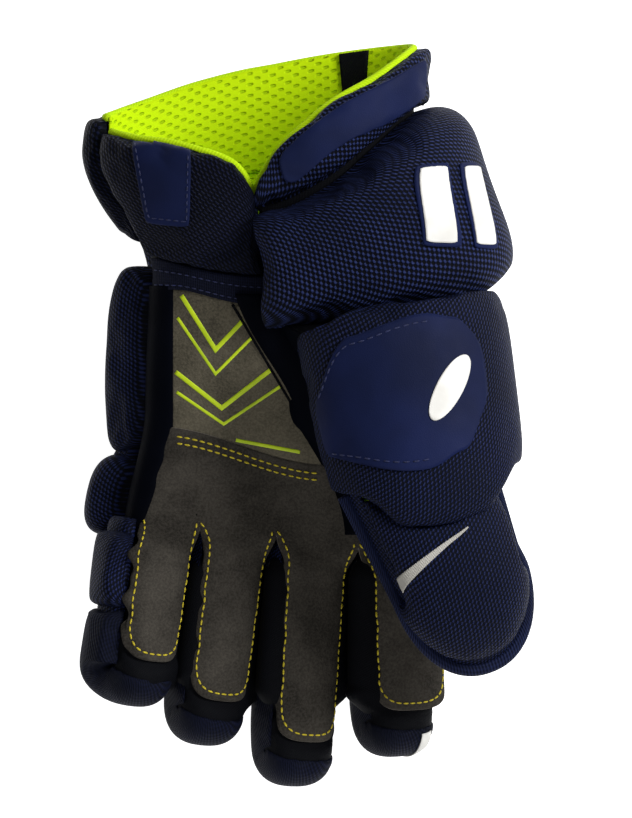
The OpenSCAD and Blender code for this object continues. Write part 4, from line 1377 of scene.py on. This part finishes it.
def thumb_stripe(pad):
    """Ribbon that runs slantwise over the thumb's pad and gets narrower."""
    start, stop, wide, narrow, share0, share1 = 27, 12, 7, 0.8, 0.93, 0.42

    def rule(u, v, raised):
        q = mix(start, stop, u) + (v - 0.5) * mix(wide, narrow, u)
        return thumb.hood_pt(q, thumb.hood_th(q, THUMB_WRAP, mix(share0, share1, u)), THUMB_PAD + raised)

    ribbon = settle(slab("thumb_ribbon", rule, 40, 6, GREY_TRIM), pad, 0.1, 0.7)
    on_body(ribbon, "thumb", "thumb_stripe")


def index_stripe(cap):
    """White bar over the tip of the index finger."""
    g = digits["index"]
    turn0, turn1, share0, share1 = 30, CAP_TURN - 4, 0.6, 0.77

    def rule(u, v, raised):
        q = mix(g.hood_end(turn0), g.hood_end(turn1), u)
        return g.hood_pt(q, g.hood_th(q, BACK_WRAP, mix(share0, share1, v)), FINGER_TIP + raised)

    bar = settle(slab("index_bar", rule, 20, 12, WHITE_TRIM), cap, 0.1, 0.8)
    on_body(bar, "index_tip", "index_stripe")


# The cuff

def flap_place(y, th):
    """Widens the palm flap towards the notch above the wrist."""
    return y, th - 5.2 * smooth((y - WRIST_Y - 6) / 36) * smooth((120 - th) / 21)


def cuff_pads():
    """The cuff's back and two sides, and its flap on the palm side."""
    def wall(th0, th1, t0, edge, full, roundness, corner):
        return pad_rule(hand_pt, cuff_seam, cuff_end, th0, th1, t0, edge, full, roundness, corner)

    t0 = PAD_SKIN + PLATE + PAD_SKIN
    rule = wall(ULNAR_SPLIT + 0.5, RADIAL_SPLIT - 0.5, t0, edge=2, full=CUFF_WALL - t0 + 0.6, roundness=4,
                corner=0.01)
    back = slab("cuff_back", rule, 28, 60, NAVY_MESH)
    # The ulnar side's mesh is painted darker as shade.
    rule = wall(CUFF_TH0, ULNAR_SPLIT, PAD_SKIN, edge=3, full=CUFF_WALL + 1, roundness=3.4, corner=0.04)
    ulnar = slab("cuff_ulnar_side", rule, 28, 24, SHADED_NAVY_MESH)
    rule = wall(RADIAL_SPLIT, CUFF_TH1, PAD_SKIN, edge=3, full=CUFF_WALL, roundness=4, corner=0.01)
    radial = slab("cuff_radial_side", rule, 26, 60, NAVY_MESH)

    def front(u, v, raised):
        u, v = soft(u), soft(v)
        a, b = rounded(u, v, 0.01)
        th = flap_turn(b)
        y = mix(flap_seam(th), flap_end(th), a)
        return hand_pt(*flap_place(y, th), PAD_SKIN + raised * pillow(u, v, 3, CUFF_WALL - 1, 4))

    # The palm flap's mesh is painted darker as shade.
    flap = slab("cuff_palm_side", front, 36, 48, SHADED_NAVY_MESH)
    on_body(back, "cuff", "cuff_back_pad")
    on_body(ulnar, "cuff", "cuff_ulnar_flap")
    on_body(radial, "cuff", "cuff_radial_panel")
    on_body(flap, "cuff_flap", "cuff_palm_panel")
    return back, ulnar, radial, flap


def cuff_tabs(radial, flap):
    """Smooth tabs sewn on the cuff's radial side and on its palm flap."""
    length, from_seam, from_rim = 19, 5, 1

    def side_tab(u, v, raised):
        a, b = rounded(u, v, 0.06)
        th = mix(RADIAL_SPLIT + 28, CUFF_TH1 - 9, b)
        start = np.maximum(cuff_seam(th) + from_seam, cuff_end(th) - length)
        return hand_pt(mix(start, cuff_end(th) - from_rim, a), th, CUFF_WALL + raised)

    side = slab("cuff_side_tab", side_tab, 24, 56, SMOOTH_NAVY)
    on_body(settle(side, radial, 0.1, PATCH + 0.5), "cuff", "cuff_radial_tab")
    corners = np.array(FRONT_TAB_PX, float)
    front = slab("cuff_front_tab", photo_bar(corners, 0.05), 26, 36, SMOOTH_NAVY)
    on_body(settle(front, flap, 0.1, PATCH, drop_from_above), "cuff_flap", "cuff_palm_tab")
    inner = mix(corners, corners.mean(axis=0), 0.13)
    f = np.linspace(0, 1, 30)[:, None]
    ring = np.concatenate([mix(inner[k], inner[k - 1], f) for k in (0, 3, 2)])
    ring, _ = drop_from_above(surface_of(front), photo_pt(ring[:, 0], ring[:, 1]))
    rows = stitches("front_tab_stitches", [ring], front, NAVY_THREAD, pitch=3.6, length=2.6, width=0.4)
    on_body(rows, "cuff_flap")
    rounder(side)
    rounder(front)


def cuff_linings():
    def cuff_inside(u, v, raised):
        th = mix(CUFF_TH0, CUFF_TH1, v)
        return hand_pt(mix(cuff_seam(th), cuff_end(th) + 1, u), th, -FABRIC * raised)

    def flap_inside(u, v, raised):
        th = flap_turn(v)
        return hand_pt(*flap_place(mix(flap_seam(th), flap_end(th) + 1, u), th), -FABRIC * raised)

    cuff = slab("cuff_lining_cloth", cuff_inside, 26, 120, NEON, under=STRETCH)
    on_body(cuff, "cuff", "cuff_lining")
    flap = slab("flap_lining_cloth", flap_inside, 20, 48, NEON, under=STRETCH)
    on_body(flap, "cuff_flap", "flap_lining")


def cuff_bridges():
    """Stretch cloth inside the two bends of the cuff, and underlaps behind its slit and notch."""
    underlap, underlap_thick = -FABRIC - LAP_GAP, 0.8

    def cuff_gap(th0, th1):
        def rule(u, v, raised):
            th = mix(th0, th1, v)
            return hand_pt(cuff_seam(th) + mix(-8, 8, u), th, 0.2 + 0.4 * raised)
        return rule

    def flap_gap(u, v, raised):
        th = mix(FLAP_TH0 + 1, FLAP_TH1 - 1, v)
        return hand_pt(*flap_place(mix(WRIST_Y - 5, flap_seam(th) + 6, u), th), 0.05 + 0.3 * raised)

    def side_gap(u, v, raised):
        th = mix(PALM_TH1 - 2, SIDE_TH1, v)
        return hand_pt(mix(WRIST_Y - 6, cuff_seam(th) + 7, u), th, 0.1 + 0.4 * raised)

    def slit(u, v, raised):
        th = mix(FLAP_TH1 - 9, CUFF_TH0 + 3, v)
        y = mix(cuff_seam(CUFF_TH0) - 2, np.minimum(cuff_end(th), flap_end(th)) - 4, u)
        return hand_pt(y, th, underlap - underlap_thick * raised)

    def notch(u, v, raised):
        th = mix(NOTCH_TH - 8, NOTCH_TH + 13, v)
        return hand_pt(mix(WRIST_Y - 22, CUFF_Y - 78, u), th, underlap - underlap_thick * raised)

    on_body(slab("cuff_slit_underlap", slit, 20, 12, NEON, under=STRETCH), "cuff")
    on_body(slab("notch_underlap", notch, 20, 14, NEON, under=STRETCH), "hand")
    x, _, z = joint_place("cuff_bend")
    low, high = cuff_seam(PALM_TH1) - 6, cuff_seam(SIDE_TH1) + 7
    bridge = slab("ulnar_bridge", side_gap, 16, 30, STRETCH, under=NEON)
    across_joint(bridge, "hand", "cuff", (x, low, z), (x, high, z))
    limits = (ROLL_TH0, 290, 372, 415, CUFF_TH1)
    for k, (th0, th1) in enumerate(zip(limits, limits[1:])):
        seam = cuff_seam(np.linspace(th0, th1, 20))
        low, high = seam.min() - 7, seam.max() + 7
        bridge = slab(f"cuff_bridge_{k + 1}", cuff_gap(th0, th1), 10, 30, STRETCH, under=NEON)
        across_joint(bridge, "hand", "cuff", (x, low, z), (x, high, z))
    middle = joint_place("cuff_flap_lift")
    bridge = slab("flap_bridge", flap_gap, 14, 40, STRETCH, under=NEON)
    across_joint(bridge, "hand", "cuff_flap", middle - [0, 6, 0], middle + [0, 6, 0])


def rim(name, y, th):
    """Round binding along an edge of the cuff."""
    path = hand_pt(y, th, RIM_D / 2 - FABRIC)
    return tube(name, eased(even(path, 1.3), 12), RIM_D / 2 - 0.2, NEON_RIM)


def cuff_rims():
    past, fine = 0.6, 1200
    th = np.linspace(CUFF_TH0 + 0.6, CUFF_TH1 - 0.4, fine)
    on_body(rim("cuff_rim", cuff_end(th) + past, th), "cuff", "cuff_rim_binding")
    th = flap_turn(np.linspace(0.002, 0.995, fine))
    on_body(rim("flap_rim", *flap_place(flap_end(th) + past, th)), "cuff_flap", "flap_rim_binding")


def cuff_label():
    """Bare label sewn inside the cuff, wider at the rim."""
    middle_th, narrow_th, wide_th, length = 307, 10, 15, 28

    def rule(u, v, raised):
        th = middle_th + (v - 0.5) * mix(narrow_th, wide_th, u)
        y = mix(cuff_end(th) - length, cuff_end(th) + 1, u)
        return hand_pt(y, th, -FABRIC - LAP_GAP - PATCH * raised)

    on_body(slab("cuff_inside_label", rule, 16, 12, STRETCH), "cuff", "cuff_label")


# Trim laid on the leather and the pads at places read from the photograph

def photo_pt(px, py):
    return points(photo_x(px), photo_y(py), ABOVE + 0 * px)


def photo_bar(corners, corner):
    """Four-sided figure with soft corners."""
    c = np.array(corners, float)

    def rule(u, v, raised):
        a, b = (k[:, None] for k in rounded(u, v, corner))
        p = mix(mix(c[0], c[1], a), mix(c[3], c[2], a), b)
        return photo_pt(p[:, 0], p[:, 1])
    return rule


def photo_oval(centre, half_long, half_short, lean):
    def rule(u, v, raised):
        a, b = 2 * u - 1, 2 * v - 1
        long, short = half_long * a * np.sqrt(1 - b * b / 2), half_short * b * np.sqrt(1 - a * a / 2)
        return photo_pt(centre[0] + long * sind(lean) + short * cosd(lean),
                        centre[1] - long * cosd(lean) + short * sind(lean))
    return rule


def photo_line(corners, width):
    """Painted line along a few points, mitred at its corners."""
    c = np.array(corners, float)
    step = np.arange(len(c))
    way = np.diff(c, axis=0)
    way /= np.linalg.norm(way, axis=1)[:, None]
    way = np.concatenate([way[:1], way[:-1] + way[1:], way[-1:]])
    ends = np.isin(step, (0, len(c) - 1))
    way *= (np.where(ends, 1, 2) / np.linalg.norm(way, axis=1) ** 2)[:, None]
    normal = np.stack([-way[:, 1], way[:, 0]], -1)

    def rule(u, v, raised):
        at = u * (len(c) - 1)
        side = (v - 0.5) * width
        px, py = (np.interp(at, step, c[:, k]) + side * np.interp(at, step, normal[:, k]) for k in (0, 1))
        return photo_pt(px, py)
    return rule


def wrist_bars(roll):
    """Two raised bars in a navy border, leaning along the wrist roll."""
    middles_th, wide_th, lean_th, border_th = (409, 389), 11.5, 11, 3
    y0, y1, border_y = 60, 98, 2

    def bar(middle, wide, low, high):
        def rule(u, v, raised):
            a, b = rounded(u, v, 0.04)
            th = middle + (a - 0.5) * wide - (b - 0.5) * lean_th
            return hand_pt(mix(low, high, b), th, WRIST_ROLL + 6)
        return rule

    for k, middle in enumerate(middles_th):
        rule = bar(middle, wide_th + border_th, y0 - border_y, y1 + border_y)
        border = slab(f"wrist_bar_border_{k + 1}", rule, 16, 44, SMOOTH_NAVY)
        on_body(settle(border, roll, 0.1, 0.9), "hand")
        face = slab(f"wrist_bar_{k + 1}", bar(middle, wide_th, y0, y1), 14, 42, WHITE_TRIM)
        on_body(settle(face, roll, 0.7, 1.5), "hand")


def patch_oval(patch):
    rule = photo_oval(BADGE_PX, half_long=36, half_short=13, lean=28)
    badge = slab("thumb_patch_badge", rule, 30, 16, WHITE_TRIM)
    on_body(settle(badge, patch, 0.05, 0.6, drop_from_above), "hand")


def palm_print(heel):
    """Nested chevrons and a short line printed on the palm's heel."""
    for k, (corners, width) in enumerate(zip(PALM_LINES_PX, PALM_LINE_WIDTHS_PX)):
        mark = slab(f"palm_print_{k + 1}", photo_line(corners, width), 48, 3, NEON_PRINT)
        on_body(settle(mark, heel, 0.02, 0.14, drop_from_above), "hand")


def palm_seam(heel, front):
    """Yellow stitches where the finger leather laps over the heel, and the heel's narrow sewn-on panel."""
    x = photo_x(np.linspace(*PALM_SEAM_PX, 60))
    rows = [palm_pt(x, seam_y(x) + up, LEATHER_T + 1) for up in (-2.2, -5.4)]
    on_body(stitches("palm_seam_stitches", rows, front, YELLOW_THREAD), "hand")
    # The panel uses the heel's suede, which is partly painted light.
    panel = slab("palm_side_panel", photo_bar(PALM_PANEL_PX, 0.02), 16, 40, LIT_HEEL_SUEDE, edge=STRETCH)
    on_body(settle(panel, heel, 0.05, 0.8, drop_from_above), "hand")
    line = slab("palm_side_seam", photo_line(PALM_PANEL_SEAM_PX, 2.6), 40, 3, STRETCH)
    on_body(settle(line, heel, 0.05, 1.0, drop_from_above), "hand")


# Putting the glove together

leathers = palm_and_fingers()
heel = palm_heel()
hand_linings()
cuff_linings()
pads = hand_pads()
ball = thumb_base()
thumb_pad = thumb_pieces()
tips = finger_pads()
cuff_back, cuff_ulnar, cuff_radial, cuff_flap = cuff_pads()
soft_pads = [*pads, ball, thumb_pad, *tips, cuff_back, cuff_ulnar, cuff_radial, cuff_flap]
puff(soft_pads)
for pad in soft_pads:
    rounder(pad)
finger_gussets()
finger_bands()
back_base()
radial_wall()
front_wall()
thumb_webs()
thumb_root()
cuff_bridges()
finger_stitches(leathers)
side_panel()
palm_tapes()
patch = thumb_base_patch(ball)
thumb_stripe(thumb_pad)
index_stripe(tips[-1])
cuff_tabs(cuff_radial, cuff_flap)
cuff_rims()
cuff_label()
wrist_bars(pads[-1])
patch_oval(patch)
palm_print(heel)
palm_seam(heel, leathers["palm"])
for node in ("backhand_plate", "cuff_stiffener", "thumb_stiffener"):
    frame["nodes"][node].data.materials.clear()
    frame["nodes"][node].data.materials.append(CLEAR_PLATE)


# Stage

def pale_floor():
    """Floor whose glow only the camera, mirrors and clear pieces see, so that it doesn't light the glove."""
    m = Finish("pale floor", Roughness=0.9, Specular_IOR_Level=0.1)
    m.shader.inputs["Base Color"].default_value = (0.85, 0.85, 0.85, 1)
    surface = Value(m, m.shader.outputs[0])
    ray = m.node("ShaderNodeLightPath")
    seen = ray + Value(m, ray.socket.node.outputs["Is Glossy Ray"])
    seen = seen + Value(m, ray.socket.node.outputs["Is Transmission Ray"])
    glow = m.node("ShaderNodeEmission", inputs={"Color": (1, 1, 1, 1), "Strength": 0.95})
    both = m.node("ShaderNodeAddShader", inputs={0: glow, 1: surface})
    shown = m.node("ShaderNodeMixShader", inputs={0: seen, 1: surface, 2: both})
    m.tree.links.new(shown.socket, m.tree.nodes["Material Output"].inputs["Surface"])
    bm = bmesh.new()
    bmesh.ops.create_grid(bm, x_segments=1, y_segments=1, size=6.0)
    mesh = bpy.data.meshes.new("floor")
    bm.to_mesh(mesh)
    bm.free()
    mesh.materials.append(m.material)
    floor = bpy.data.objects.new("floor", mesh)
    floor.location.z = -0.0005
    bpy.context.scene.collection.objects.link(floor)


def studio_light(centre):
    scene = bpy.context.scene
    world = bpy.data.worlds.new("studio")
    world.use_nodes = True
    world.node_tree.nodes["Background"].inputs["Color"].default_value = (1, 1, 1, 1)
    world.node_tree.nodes["Background"].inputs["Strength"].default_value = 0.16
    scene.world = world
    lamps = (("key", (1.0, 0.6, 1.0), 0.7, 23), ("fill", (-0.9, 0.1, 0.9), 1.0, 1.2),
             ("front", (0.2, -1.1, 0.9), 0.8, 7))
    for name, place, size, power in lamps:
        lamp = bpy.data.lights.new(name, "AREA")
        lamp.size, lamp.energy = size, power
        made = bpy.data.objects.new(name, lamp)
        made.location = place
        made.rotation_euler = (centre - made.location).to_track_quat("-Z", "Y").to_euler()
        scene.collection.objects.link(made)


def photo_camera(centre):
    """Camera straight above, far enough away that the photograph's scale holds all over the glove."""
    scene = bpy.context.scene
    camera = bpy.data.cameras.new("photo camera")
    distance = 3.5
    camera.sensor_width = 36
    camera.lens = camera.sensor_width * distance / (PHOTO_H * PIXEL * MM)
    eye = bpy.data.objects.new("photo camera", camera)
    eye.location = centre + Vector((0, 0, distance))
    scene.collection.objects.link(eye)
    scene.camera = eye


bpy.context.scene.view_settings.view_transform = "Standard"
pale_floor()
photo_centre = Vector((photo_x(PHOTO_W / 2), photo_y(PHOTO_H / 2), 50)) * MM
studio_light(photo_centre)
photo_camera(photo_centre)
